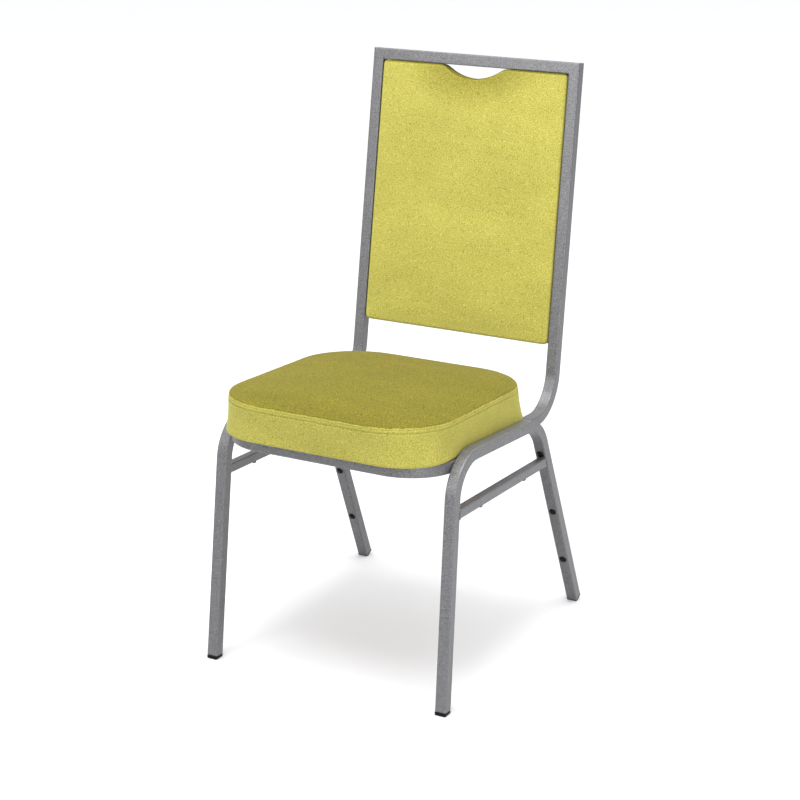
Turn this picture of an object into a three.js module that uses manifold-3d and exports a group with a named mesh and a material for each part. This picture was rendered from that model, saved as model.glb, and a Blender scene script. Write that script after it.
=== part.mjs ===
// Upholstered stacking chair: a welded square-tube frame, a box seat cushion and a padded back.
// Millimetres, +Z up, the sitter faces -Y. The feet stand on z = 0 and the origin is under the middle.
import * as THREE from "three";
import { mergeVertices } from "three/addons/utils/BufferGeometryUtils.js";
import Module from "manifold-3d";

// ---- Driving dimensions ----
const GAP = 0.3; // clearance between two pieces that touch
const OVERRUN = 1; // how far a cut or a join runs past the face it starts from
const SMALLEST_FILLET = 1;
const ROUND_SIDES = 12; // facets round a button or a hole
const SCREW_SIDES = 10;

// Square tube of the frames
const TUBE = 19;
const TUBE_WALL = 1.5;
const TUBE_CORNER = 2;
const BEND_STEP = 9; // degrees of bend per facet

// Seat and back frame: one outline bent from tube, closed by a mitred top rail
const FRAME_WIDTH = 392; // outside, at the seat
const BACK_NARROWING = 9; // the top rail is this much narrower than the seat
const SEAT_HEIGHT = 390.4; // middle of the tube at the foremost point
const SEAT_LENGTH = 448.7; // foremost point to where seat line and back line cross
const SEAT_TILT = 3.3; // degrees down towards the rear
const BACK_LENGTH = 579.5; // from that crossing to the top of the top rail
const BACK_RECLINE = 8.2; // degrees
const SEAT_BACK_BEND_R = 72;
const SEAT_CORNER_R = 76;
const CROSS_TUBE_FROM_BACK = 108.7; // before the crossing of seat line and back line

// Side frames: front leg, rail beside the cushion and rear leg in one bent tube
const RAIL_SETBACK = 58; // front corner of the side frame behind the foremost point of the seat frame
const RAIL_LENGTH = 293;
const RAIL_RISE_FRONT = 15; // middle of the rail over the middle of the seat tube
const RAIL_RISE_REAR = 7.5;
const FRONT_LEG_RAKE = 6.3; // degrees
const REAR_LEG_RAKE = 23.6;
const FRONT_LEG_BEND_R = 65;
const REAR_LEG_BEND_R = 75;
const SPLAY = 0.9; // degrees that each side frame leans out towards the floor

// Stretcher between the legs of a side frame
const STRETCHER = 15;
const STRETCHER_WALL = 1.2;
const STRETCHER_CORNER = 1.5;
const STRETCHER_DROP_FRONT = 84.1; // middle of the stretcher under the rail's corner
const STRETCHER_DROP_REAR = 77;
const STUD_INSET_FRONT = 93;
const STUD_INSET_REAR = 85;
const STUD_R = 4;
const STUD_HEIGHT = 5.5;
const STUD_STEM_R = 2;

// Feet and stacking buffers
const FRONT_FOOT_HEIGHT = 5.8; // tube end over the floor, at its middle
const REAR_FOOT_FLANGE = 2.6;
const REAR_FOOT_FLAT = 0.6; // how much the low edge of the rear flange is flattened
const PLUG_LENGTH = 16;
const BUFFERS_FROM_FOOT = [99, 212]; // along the rear leg
const BUFFER_OVER_STRETCHER = 2.4; // lowest point of the third one over the stretcher
const BUFFER_R = 5.5;
const BUFFER_HEIGHT = 3.2;
const BUFFER_STEM_R = 2.4;
const STEM_LENGTH = 4; // under the head of a buffer or stud

// Seat cushion
const COVER = 1.6; // upholstery fabric with its lining
const CUSHION_SIDE_INSET = 2.3; // from the outside of the seat frame
// Bottom and top edge: overhang before the tube, gap to where seat and back lines cross, front corner radius
const CUSHION_BOTTOM = { overhang: 19.6, rearGap: 56.7, corner: 82.6 };
const CUSHION_TOP = { overhang: 31.2, rearGap: 65.3, corner: 110 };
const CUSHION_EDGE_HEIGHT = 74.8; // top edge over the middle of the seat tube
const CUSHION_SEAM_HEIGHT = 63.5;
const CUSHION_EDGE_R = 6;
const CUSHION_CROWN = 7.6;
const CROWN_RINGS = [0.15, 0.35, 0.6]; // shares of the top's corner radius, from the edge inwards
const HEM_WIDTH = 16; // cover turned in under the board
const HEM_THICKNESS = 1.2;
const SEAT_BOARD = 9;
const CORNER_STEPS = 3; // each quarter round has twice as many facets

// Seat fixings
const TAB_WIDTH = 30;
const TAB_REACH = 26;
const TAB_THICKNESS = 3;
const TAB_FROM_FRONT = 110;
const TAB_BEFORE_CROSS_TUBE = 50;
const SEAT_SCREW = { head: 5.5, headHeight: 3.4, shank: 2.8 };
const SCREW_COVER = 2; // wood left over a screw's point

// Back pad
const PAD_SIDE_GAP = 1.7;
const PAD_BOTTOM = 111.7; // over the crossing of seat line and back line
const PAD_FRONT = 13; // before the middle of the uprights
const PAD_REAR = -12.5;
const PAD_CORNER_R = 9;
const PAD_EDGE_R = 5;
const BACK_BOARD = 8;
const REAR_PANEL = 3;
const REAR_PANEL_RIM = 2.5;
const HANDHOLD_WIDTH = 116;
const HANDHOLD_DEPTH = 21.4;

// Back fixings
const LUG_WIDTH = 24;
const LUG_REACH = 28;
const LUG_THICKNESS = 2.5;
const LUG_FROM_PAD_BOTTOM = 63.3;
const LUG_FROM_PAD_TOP = 80.2;
const BACK_SCREW = { head: 4.2, headHeight: 1.9, shank: 2.2 };

// ---- Finishes ----
function finish(color, roughness, metalness) {
  return () => new THREE.MeshStandardMaterial({ color, roughness, metalness });
}
const coatedSteel = finish("#8c8c90", 0.5, 0.35);
const velvet = finish("#c8c060", 0.95, 0);
const foamGrey = finish("#d9d4c2", 1, 0);
const plywood = finish("#c9a877", 0.75, 0);
const blackPlastic = finish("#1b1b1c", 0.55, 0);
const zincSteel = finish("#b8bac0", 0.4, 0.9);

// ---- Solids ----
const wasm = await Module();
wasm.setup();

function solid(geometry) {
  const bare = new THREE.BufferGeometry();
  bare.setAttribute("position", geometry.getAttribute("position"));
  bare.setIndex(geometry.index);
  const merged = mergeVertices(bare, 1e-3);
  return new wasm.Manifold(
    new wasm.Mesh({
      numProp: 3,
      vertProperties: new Float32Array(merged.getAttribute("position").array),
      triVerts: new Uint32Array(merged.index.array),
    }),
  );
}

const v = (x, y, z) => new THREE.Vector3(x, y, z);
const deg = THREE.MathUtils.degToRad;

// The part of a solid on the side of a plane that its normal points to.
function keep(body, point, normal) {
  const n = normal.clone().normalize();
  return body.trimByPlane(n.toArray(), n.dot(point));
}

function placed(body, matrix) {
  return body.transform(matrix.toArray());
}

const chair = new THREE.Group();

function piece(name, body, material) {
  const made = body.getMesh();
  const geometry = new THREE.BufferGeometry();
  geometry.setAttribute("position", new THREE.BufferAttribute(made.vertProperties, 3));
  geometry.setIndex(new THREE.BufferAttribute(made.triVerts, 1));
  geometry.computeVertexNormals();
  const mesh = new THREE.Mesh(geometry, material());
  mesh.name = name;
  chair.add(mesh);
}

// A rectangle with round corners from (x0, y0) to (x1, y1).
function roundedRectangle(path, x0, y0, x1, y1, r) {
  path.moveTo(x0 + r, y0);
  path.lineTo(x1 - r, y0);
  path.absarc(x1 - r, y0 + r, r, -Math.PI / 2, 0);
  path.lineTo(x1, y1 - r);
  path.absarc(x1 - r, y1 - r, r, 0, Math.PI / 2);
  path.lineTo(x0 + r, y1);
  path.absarc(x0 + r, y1 - r, r, Math.PI / 2, Math.PI);
  path.lineTo(x0, y0 + r);
  path.absarc(x0 + r, y0 + r, r, Math.PI, 1.5 * Math.PI);
  return path;
}

function squareSection(size, corner, wall) {
  const shape = roundedRectangle(new THREE.Shape(), -size / 2, -size / 2, size / 2, size / 2, corner);
  if (wall) {
    const h = size / 2 - wall;
    const bore = new THREE.Path([
      new THREE.Vector2(-h, -h),
      new THREE.Vector2(h, -h),
      new THREE.Vector2(h, h),
      new THREE.Vector2(-h, h),
    ]);
    bore.closePath();
    shape.holes.push(bore);
  }
  return shape;
}

// A route of straight lines and bends. Each station holds a point, the direction and the side that stays up.
class Route extends THREE.Curve {
  constructor(stations) {
    super();
    this.stations = stations;
  }
  getPoint(t) {
    return this.stations[Math.round(t * (this.stations.length - 1))].point.clone();
  }
  getSpacedPoints() {
    return this.stations.map((s) => s.point.clone());
  }
  computeFrenetFrames() {
    const tangents = this.stations.map((s) => s.along.clone().normalize());
    const binormals = this.stations.map((s, i) =>
      s.up.clone().addScaledVector(tangents[i], -s.up.dot(tangents[i])).normalize(),
    );
    const normals = binormals.map((b, i) => b.clone().cross(tangents[i]));
    return { tangents, normals, binormals };
  }
}

// Stations through the corner points, with each inner corner bent to its radius.
function routeThrough(corners, radii, upAt) {
  const stations = [];
  const add = (point, along) => stations.push({ point, along, up: upAt(point, along) });
  const direction = (a, b) => b.clone().sub(a).normalize();
  add(corners[0], direction(corners[0], corners[1]));
  for (let i = 1; i < corners.length - 1; i++) {
    const before = direction(corners[i - 1], corners[i]);
    const after = direction(corners[i], corners[i + 1]);
    const turn = before.angleTo(after);
    const axis = before.clone().cross(after).normalize();
    const start = corners[i].clone().addScaledVector(before, -radii[i - 1] * Math.tan(turn / 2));
    const centre = start.clone().addScaledVector(axis.clone().cross(before), radii[i - 1]);
    const steps = Math.max(2, Math.round(THREE.MathUtils.radToDeg(turn) / BEND_STEP));
    for (let k = 0; k <= steps; k++) {
      const angle = (turn * k) / steps;
      const arm = start.clone().sub(centre).applyAxisAngle(axis, angle);
      add(centre.clone().add(arm), before.clone().applyAxisAngle(axis, angle));
    }
  }
  const last = corners.length - 1;
  add(corners[last], direction(corners[last - 1], corners[last]));
  return new Route(stations);
}

function tube(section, route) {
  return solid(
    new THREE.ExtrudeGeometry(section, {
      steps: route.stations.length - 1,
      extrudePath: route,
      curveSegments: 1,
    }),
  );
}

// A turned piece whose axis is +Z, from a closed profile of [radius, height] points.
function turned(profile, segments = ROUND_SIDES) {
  const points = profile.map(([r, z]) => new THREE.Vector2(r, z));
  return solid(new THREE.LatheGeometry(points, segments).rotateX(Math.PI / 2));
}

function roundBar(radius, low, high) {
  return turned([[0, low], [radius, low], [radius, high], [0, high]]);
}

function slab(shape, low, high) {
  const options = { depth: high - low, bevelEnabled: false, curveSegments: CORNER_STEPS };
  return solid(new THREE.ExtrudeGeometry(shape, options).translate(0, 0, low));
}

// ---- Frames of reference ----
const alongSeat = v(0, Math.cos(deg(SEAT_TILT)), -Math.sin(deg(SEAT_TILT))); // front to rear
const seatUp = v(0, Math.sin(deg(SEAT_TILT)), Math.cos(deg(SEAT_TILT)));
const alongBack = v(0, Math.sin(deg(BACK_RECLINE)), Math.cos(deg(BACK_RECLINE))); // bottom to top
const backFront = v(0, -Math.cos(deg(BACK_RECLINE)), Math.sin(deg(BACK_RECLINE)));
const X = v(1, 0, 0);

const seatFront = v(0, 0, SEAT_HEIGHT);
const crossing = seatFront.clone().addScaledVector(alongSeat, SEAT_LENGTH);

// Seat frame: x across, y from the foremost point to the rear, z over the middle of the tube.
const seatFrame = new THREE.Matrix4().makeBasis(X, alongSeat, seatUp).setPosition(seatFront);
// Back frame: x across, y up the uprights from the crossing, z forward of their middle.
const backFrame = new THREE.Matrix4().makeBasis(X, alongBack, backFront).setPosition(crossing);

// ---- Seat and back frame ----
const seatTubeX = (FRAME_WIDTH - TUBE) / 2;
const topTubeX = (FRAME_WIDTH - BACK_NARROWING - TUBE) / 2;
const crossTubeStation = SEAT_LENGTH - CROSS_TUBE_FROM_BACK;

function onBack(x, height) {
  return crossing.clone().addScaledVector(alongBack, height).setX(x);
}

function onSeat(x, station) {
  return seatFront.clone().addScaledVector(alongSeat, station).setX(x);
}

// Middle of an upright, measured across the chair, at a height along the back.
function uprightX(height) {
  return seatTubeX + ((topTubeX - seatTubeX) * height) / BACK_LENGTH;
}

const mitreHeight = BACK_LENGTH - TUBE / 2;

function mitrePlane(side) {
  const point = onBack(side * uprightX(mitreHeight), mitreHeight);
  const upright = point.clone().sub(onSeat(side * seatTubeX, SEAT_LENGTH)).normalize();
  const normal = upright.clone().sub(X.clone().multiplyScalar(side));
  return { point, upright, normal: normal.normalize() };
}

function sideTube(side) {
  const mitre = mitrePlane(side);
  const x = side * seatTubeX;
  const corners = [
    mitre.point.clone().addScaledVector(mitre.upright, TUBE),
    onSeat(x, SEAT_LENGTH),
    onSeat(x, TUBE / 2),
    onSeat((side * GAP) / 2, TUBE / 2),
  ];
  const upAt = (point, along) =>
    point.y < SEAT_LENGTH / 2 ? seatUp : X.clone().cross(along).negate();
  const route = routeThrough(corners, [SEAT_BACK_BEND_R, SEAT_CORNER_R], upAt);
  const body = tube(squareSection(TUBE, TUBE_CORNER, TUBE_WALL), route);
  const cut = mitre.point.clone().addScaledVector(mitre.normal, -GAP / 2);
  return keep(body, cut, mitre.normal.clone().negate());
}

function topRail() {
  const reach = topTubeX + TUBE;
  const corners = [onBack(-reach, mitreHeight), onBack(reach, mitreHeight)];
  let body = tube(
    squareSection(TUBE, TUBE_CORNER, TUBE_WALL),
    routeThrough(corners, [], () => backFront),
  );
  for (const side of [-1, 1]) {
    const mitre = mitrePlane(side);
    body = keep(body, mitre.point.clone().addScaledVector(mitre.normal, GAP / 2), mitre.normal);
  }
  return body;
}

function rearCrossTube() {
  const reach = seatTubeX - TUBE / 2 - GAP;
  const corners = [onSeat(-reach, crossTubeStation), onSeat(reach, crossTubeStation)];
  return tube(
    squareSection(TUBE, TUBE_CORNER, TUBE_WALL),
    routeThrough(corners, [], () => seatUp),
  );
}

piece("side_tube_right", sideTube(1), coatedSteel);
piece("side_tube_left", sideTube(-1), coatedSteel);
piece("top_rail", topRail(), coatedSteel);
piece("rear_cross_tube", rearCrossTube(), coatedSteel);

// ---- Side frames, drawn in the plane x = 0 and then leaned out beside the seat frame ----
function seatTubeHeight(y) {
  return SEAT_HEIGHT - y * Math.tan(deg(SEAT_TILT));
}

const frontLegDown = v(0, -Math.sin(deg(FRONT_LEG_RAKE)), -Math.cos(deg(FRONT_LEG_RAKE)));
const rearLegDown = v(0, Math.sin(deg(REAR_LEG_RAKE)), -Math.cos(deg(REAR_LEG_RAKE)));
const railFront = v(0, RAIL_SETBACK, seatTubeHeight(RAIL_SETBACK) + RAIL_RISE_FRONT);
const railRearY = RAIL_SETBACK + RAIL_LENGTH;
const railRear = v(0, railRearY, seatTubeHeight(railRearY) + RAIL_RISE_REAR);
const rearFootHeight =
  (TUBE / 2) * Math.sin(deg(REAR_LEG_RAKE)) +
  REAR_FOOT_FLANGE * Math.cos(deg(REAR_LEG_RAKE)) -
  REAR_FOOT_FLAT;

// The point of a leg's middle line at a height.
function onLeg(top, down, height) {
  return top.clone().addScaledVector(down, (height - top.z) / down.z);
}

const frontFoot = onLeg(railFront, frontLegDown, FRONT_FOOT_HEIGHT);
const rearFoot = onLeg(railRear, rearLegDown, rearFootHeight);

// Places the side frame's plane beside the seat tube, leaning out about the rail.
function sideMatrix(side) {
  const pivot = seatTubeHeight(RAIL_SETBACK);
  const lean = new THREE.Matrix4().makeRotationY(-side * deg(SPLAY));
  return new THREE.Matrix4()
    .makeTranslation(side * (FRAME_WIDTH / 2 + GAP + TUBE / 2), 0, pivot)
    .multiply(lean)
    .multiply(new THREE.Matrix4().makeTranslation(0, 0, -pivot));
}

// A frame whose z axis is out of a face, at a point on it.
function facing(point, out) {
  const matrix = new THREE.Matrix4();
  const turn = new THREE.Quaternion().setFromUnitVectors(v(0, 0, 1), out.clone().normalize());
  return matrix.makeRotationFromQuaternion(turn).setPosition(point);
}

const stretcherFront = onLeg(railFront, frontLegDown, railFront.z - STRETCHER_DROP_FRONT);
const stretcherRear = onLeg(railRear, rearLegDown, railRear.z - STRETCHER_DROP_REAR);
const alongStretcher = stretcherRear.clone().sub(stretcherFront).normalize();
const stretcherUnder = v(0, alongStretcher.z, -alongStretcher.y);
const rearLegFront = v(0, rearLegDown.z, -rearLegDown.y);

// How far up the rear leg the stretcher's top meets the leg's front face.
function stretcherTopOnLeg() {
  const top = stretcherRear.clone().addScaledVector(stretcherUnder, -STRETCHER / 2).sub(rearFoot);
  const run = (TUBE / 2 - top.dot(rearLegFront)) / alongStretcher.dot(rearLegFront);
  return -top.addScaledVector(alongStretcher, run).dot(rearLegDown);
}

const bufferPlaces = [
  ...BUFFERS_FROM_FOOT,
  stretcherTopOnLeg() + BUFFER_OVER_STRETCHER + BUFFER_R,
].map((distance) =>
  facing(
    rearFoot.clone().addScaledVector(rearLegDown, -distance).addScaledVector(rearLegFront, TUBE / 2),
    rearLegFront,
  ),
);

function legFrame() {
  const corners = [frontFoot, railFront, railRear, rearFoot];
  const up = (point, along) => X.clone().cross(along).negate();
  let body = tube(
    squareSection(TUBE, TUBE_CORNER, TUBE_WALL),
    routeThrough(corners, [FRONT_LEG_BEND_R, REAR_LEG_BEND_R], up),
  );
  for (const place of bufferPlaces) {
    const drill = roundBar(BUFFER_STEM_R + GAP, -2 * TUBE_WALL, TUBE_WALL);
    body = body.subtract(placed(drill, place));
  }
  return body;
}

const studPlaces = [
  stretcherFront.clone().addScaledVector(alongStretcher, STUD_INSET_FRONT),
  stretcherRear.clone().addScaledVector(alongStretcher, -STUD_INSET_REAR),
].map((point) => facing(point.addScaledVector(stretcherUnder, STRETCHER / 2), stretcherUnder));

// The stretcher's outer face is flush with the legs', so it sits off the plane of the tube's middle.
function stretcherShift(side) {
  return new THREE.Matrix4().makeTranslation((side * (TUBE - STRETCHER)) / 2, 0, 0);
}

function stretcher() {
  const corners = [
    stretcherFront.clone().addScaledVector(alongStretcher, -TUBE),
    stretcherRear.clone().addScaledVector(alongStretcher, TUBE),
  ];
  let body = tube(
    squareSection(STRETCHER, STRETCHER_CORNER, STRETCHER_WALL),
    routeThrough(corners, [], () => stretcherUnder),
  );
  for (const place of studPlaces) {
    const drill = roundBar(STUD_STEM_R + GAP, -2 * STRETCHER_WALL, STRETCHER_WALL);
    body = body.subtract(placed(drill, place));
  }
  const clear = TUBE / 2 + GAP;
  const frontFace = v(0, -frontLegDown.z, frontLegDown.y);
  const rearFace = v(0, rearLegDown.z, -rearLegDown.y);
  body = keep(body, frontFoot.clone().addScaledVector(frontFace, clear), frontFace);
  return keep(body, rearFoot.clone().addScaledVector(rearFace, clear), rearFace);
}

// A moulded foot: a plug inside the tube and a flange under its end.
function foot(end, down, flange) {
  const bore = TUBE - 2 * TUBE_WALL - 2 * GAP;
  const plug = squareSection(bore, TUBE_CORNER / 2);
  const sole = squareSection(TUBE, TUBE_CORNER);
  const up = () => X;
  const line = (from, to) =>
    routeThrough([from, to].map((d) => end.clone().addScaledVector(down, d)), [], up);
  return tube(sole, line(GAP, flange)).add(tube(plug, line(-PLUG_LENGTH, GAP + OVERRUN)));
}

// A button with a domed head and a stem, standing out along +Z.
function button(radius, height, stem) {
  const rise = height / 2;
  const profile = [[0, -STEM_LENGTH], [stem, -STEM_LENGTH], [stem, GAP], [radius, GAP]];
  for (let k = 0; k <= 3; k++) {
    const a = (k / 4) * (Math.PI / 2);
    profile.push([radius * Math.cos(a), rise + (height - rise) * Math.sin(a)]);
  }
  profile.push([0, height]);
  return turned(profile);
}

const frontFlange = FRONT_FOOT_HEIGHT + TUBE / 2;
const floorPoint = v(0, 0, 0);
const floorUp = v(0, 0, 1);

for (const [label, side] of [["right", 1], ["left", -1]]) {
  const lean = sideMatrix(side);
  const shifted = lean.clone().multiply(stretcherShift(side));
  piece("leg_frame_" + label, placed(legFrame(), lean), coatedSteel);
  piece("stretcher_" + label, placed(stretcher(), shifted), coatedSteel);
  const feet = [
    ["foot_front_", foot(frontFoot, frontLegDown, frontFlange)],
    ["foot_rear_", foot(rearFoot, rearLegDown, REAR_FOOT_FLANGE)],
  ];
  for (const [name, body] of feet)
    piece(name + label, keep(placed(body, lean), floorPoint, floorUp), blackPlastic);
  bufferPlaces.forEach((place, i) => {
    const body = placed(button(BUFFER_R, BUFFER_HEIGHT, BUFFER_STEM_R), place);
    piece("leg_buffer_" + label + "_" + (i + 1), placed(body, lean), blackPlastic);
  });
  studPlaces.forEach((place, i) => {
    const body = placed(button(STUD_R, STUD_HEIGHT, STUD_STEM_R), place);
    piece("stretcher_buffer_" + label + "_" + (i + 1), placed(body, shifted), blackPlastic);
  });
}

// ---- Seat cushion, in the seat frame ----
const hemBottom = TUBE / 2 + GAP;
const seatBoardBottom = hemBottom + HEM_THICKNESS + GAP;
const seatBoardTop = seatBoardBottom + SEAT_BOARD;

// Points of the cushion's outline at a share of the way from its bottom to its top edge, moved in by an inset.
function cushionOutline(share, inset) {
  const mix = (key) => THREE.MathUtils.lerp(CUSHION_BOTTOM[key], CUSHION_TOP[key], share);
  const w = FRAME_WIDTH / 2 - CUSHION_SIDE_INSET - inset;
  const front = inset - mix("overhang");
  const rear = SEAT_LENGTH - mix("rearGap") - inset;
  const shape = roundedRectangle(new THREE.Shape(), -w, front, w, rear, mix("corner") - inset);
  const points = shape.getPoints(CORNER_STEPS).slice(0, -1);
  return points.filter((p, i) => i === 0 || p.distanceTo(points[i - 1]) > GAP);
}

// A closed body through rings of equally many points, each at its own height.
function loft(rings) {
  const count = rings[0].points.length;
  const position = rings.flatMap(({ points, height }) => points.flatMap((p) => [p.x, p.y, height]));
  const index = [];
  for (let k = 0; k + 1 < rings.length; k++)
    for (let i = 0; i < count; i++) {
      const j = (i + 1) % count;
      const [a, b, c, d] = [k * count + i, k * count + j, (k + 1) * count + j, (k + 1) * count + i];
      index.push(a, b, c, a, c, d);
    }
  const cap = THREE.ShapeUtils.triangulateShape(rings[0].points, []);
  const top = (rings.length - 1) * count;
  for (const [a, b, c] of cap) index.push(a, c, b, top + a, top + b, top + c);
  const geometry = new THREE.BufferGeometry();
  geometry.setAttribute("position", new THREE.Float32BufferAttribute(position, 3));
  geometry.setIndex(index);
  return solid(geometry);
}

// The cushion's outer form, moved in by an inset, from a height up over its crown.
function cushionForm(inset, bottom) {
  const span = CUSHION_EDGE_HEIGHT - hemBottom;
  const edge = CUSHION_EDGE_HEIGHT - CUSHION_EDGE_R;
  const ring = (share, move, height) => ({ points: cushionOutline(share, move), height });
  const rings = [
    ring((bottom - hemBottom) / span, inset, bottom),
    ring((CUSHION_SEAM_HEIGHT - hemBottom) / span, inset, CUSHION_SEAM_HEIGHT),
  ];
  for (const angle of [0, 45, 90]) {
    const r = Math.max(CUSHION_EDGE_R - inset, SMALLEST_FILLET);
    const move = CUSHION_EDGE_R - r * Math.cos(deg(angle));
    rings.push(ring(1, Math.max(move, inset), edge + r * Math.sin(deg(angle))));
  }
  for (const share of CROWN_RINGS) {
    const rise = CUSHION_CROWN * (1 - (1 - share) ** 2);
    const move = CUSHION_EDGE_R + share * CUSHION_TOP.corner;
    rings.push(ring(1, move, CUSHION_EDGE_HEIGHT - inset + rise));
  }
  return loft(rings);
}

function hem() {
  const outer = new THREE.Shape(cushionOutline(0, 0));
  outer.holes.push(new THREE.Path(cushionOutline(0, HEM_WIDTH)));
  return slab(outer, hemBottom, hemBottom + HEM_THICKNESS);
}

const tabScrewX = seatTubeX - TUBE / 2 - TAB_REACH / 2;
const tabStations = [TAB_FROM_FRONT, crossTubeStation - TAB_BEFORE_CROSS_TUBE];
const screwPlaces = tabStations.flatMap((station) =>
  [1, -1].map((side) => v(side * tabScrewX, station, 0)),
);

function drilled(body, places, radius, low, high) {
  for (const place of places) {
    const matrix = new THREE.Matrix4().makeTranslation(place.x, place.y, 0);
    body = body.subtract(placed(roundBar(radius, low, high), matrix));
  }
  return body;
}

const coverShell = cushionForm(0, hemBottom).subtract(cushionForm(COVER, hemBottom - OVERRUN));
const bandBelow = v(0, 0, CUSHION_SEAM_HEIGHT - GAP / 2);
const topAbove = v(0, 0, CUSHION_SEAM_HEIGHT + GAP / 2);
const coverBand = keep(coverShell, bandBelow, v(0, 0, -1)).add(hem());
const coverTop = keep(coverShell, topAbove, floorUp);
const foamInset = COVER + GAP;
const filling = cushionForm(foamInset, hemBottom);
const seatFoam = keep(filling, v(0, 0, seatBoardTop + GAP), floorUp);
const boardAbove = keep(filling, v(0, 0, seatBoardBottom), floorUp);
const boardBlank = keep(boardAbove, v(0, 0, seatBoardTop), v(0, 0, -1));
const seatScrewHead = TUBE / 2 - TAB_THICKNESS - GAP;
const seatScrewTop = seatBoardTop - SCREW_COVER;
const seatBoard = drilled(
  boardBlank, screwPlaces, SEAT_SCREW.shank + GAP, seatBoardBottom - OVERRUN, seatScrewTop + GAP,
);

piece("seat_board", placed(seatBoard, seatFrame), plywood);
piece("seat_foam", placed(seatFoam, seatFrame), foamGrey);
piece("seat_cover_band", placed(coverBand, seatFrame), velvet);
piece("seat_cover_top", placed(coverTop, seatFrame), velvet);

// ---- Seat fixings ----
function seatTab(side, station) {
  const outer = seatTubeX - TUBE / 2 - GAP;
  const [x0, x1] = side > 0 ? [outer - TAB_REACH, outer] : [-outer, -outer + TAB_REACH];
  const plate = roundedRectangle(
    new THREE.Shape(), x0, station - TAB_WIDTH / 2, x1, station + TAB_WIDTH / 2, TUBE_CORNER,
  );
  const low = TUBE / 2 - TAB_THICKNESS;
  const place = v(side * tabScrewX, station, 0);
  const hole = SEAT_SCREW.shank + 2 * GAP;
  return drilled(slab(plate, low, TUBE / 2), [place], hole, low - OVERRUN, TUBE / 2 + OVERRUN);
}

// A pan-head screw with its shank along +Z; the underside of the head is at z = 0.
function panScrew({ head, headHeight, shank }, length) {
  const chamfer = headHeight / 2;
  const profile = [
    [0, -headHeight], [head - chamfer, -headHeight], [head, -chamfer], [head, 0],
    [shank, 0], [shank, length - shank], [0, length],
  ];
  return turned(profile, SCREW_SIDES);
}

tabStations.forEach((station, i) => {
  for (const [label, side] of [["right", 1], ["left", -1]]) {
    const name = (i ? "rear_" : "front_") + label;
    piece("seat_tab_" + name, placed(seatTab(side, station), seatFrame), coatedSteel);
    const place = new THREE.Matrix4().makeTranslation(side * tabScrewX, station, seatScrewHead);
    const screw = placed(panScrew(SEAT_SCREW, seatScrewTop - seatScrewHead), place);
    piece("seat_screw_" + name, placed(screw, seatFrame), zincSteel);
  }
});

// ---- Back pad, in the back frame ----
const padTop = BACK_LENGTH - TUBE - GAP;
const handholdR = ((HANDHOLD_WIDTH / 2) ** 2 + HANDHOLD_DEPTH ** 2) / (2 * HANDHOLD_DEPTH);
const handholdCentre = padTop - HANDHOLD_DEPTH + handholdR;

// Half the pad's width at a height: it follows the uprights' inner faces.
function padHalfWidth(height) {
  return uprightX(height) - TUBE / 2 - PAD_SIDE_GAP;
}

// The pad's outline with its round lower corners and the hand-hold scooped from its top edge.
function padOutline(inset) {
  const low = PAD_BOTTOM + inset;
  const high = padTop - inset;
  const r = Math.max(PAD_CORNER_R - inset, SMALLEST_FILLET);
  const lowX = padHalfWidth(low) - inset;
  const highX = padHalfWidth(high) - inset;
  const scoopR = handholdR + inset;
  const half = Math.acos((handholdCentre - high) / scoopR);
  const shape = new THREE.Shape();
  shape.moveTo(-lowX + r, low);
  shape.lineTo(lowX - r, low);
  shape.absarc(lowX - r, low + r, r, -Math.PI / 2, 0);
  shape.lineTo(highX, high);
  shape.absarc(0, handholdCentre, scoopR, -Math.PI / 2 + half, -Math.PI / 2 - half, true);
  shape.lineTo(-highX, high);
  shape.absarc(-lowX + r, low + r, r, Math.PI, 1.5 * Math.PI);
  return shape;
}

// The pad's form moved in by an inset: rounded at its front edge, flat at a height behind.
function padForm(inset, rear) {
  const r = Math.max(PAD_EDGE_R - inset, SMALLEST_FILLET);
  const options = {
    depth: PAD_FRONT - inset - rear,
    bevelThickness: r,
    bevelSize: r,
    bevelOffset: -r,
    bevelSegments: 2,
    curveSegments: CORNER_STEPS,
  };
  const block = new THREE.ExtrudeGeometry(padOutline(inset), options);
  return keep(solid(block.translate(0, 0, rear - r)), v(0, 0, rear), floorUp);
}

const backBoardRear = -BACK_BOARD / 2;
const lugFront = backBoardRear - GAP;
const lugScrewX = (height) => uprightX(height) - TUBE / 2 - LUG_REACH + LUG_WIDTH / 2;
const lugStations = [PAD_BOTTOM + LUG_FROM_PAD_BOTTOM, padTop - LUG_FROM_PAD_TOP];
const lugPlaces = lugStations.flatMap((height) =>
  [1, -1].map((side) => v(side * lugScrewX(height), height, 0)),
);
const backScrewHead = lugFront - LUG_THICKNESS - GAP;
const backScrewEnd = backBoardRear + BACK_BOARD - SCREW_COVER;

function backCover() {
  return padForm(0, backBoardRear).subtract(padForm(COVER, backBoardRear - OVERRUN));
}

function backBoard() {
  const board = slab(padOutline(foamInset), backBoardRear, backBoardRear + BACK_BOARD);
  const low = backBoardRear - OVERRUN;
  return drilled(board, lugPlaces, BACK_SCREW.shank + GAP, low, backScrewEnd + GAP);
}

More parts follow.
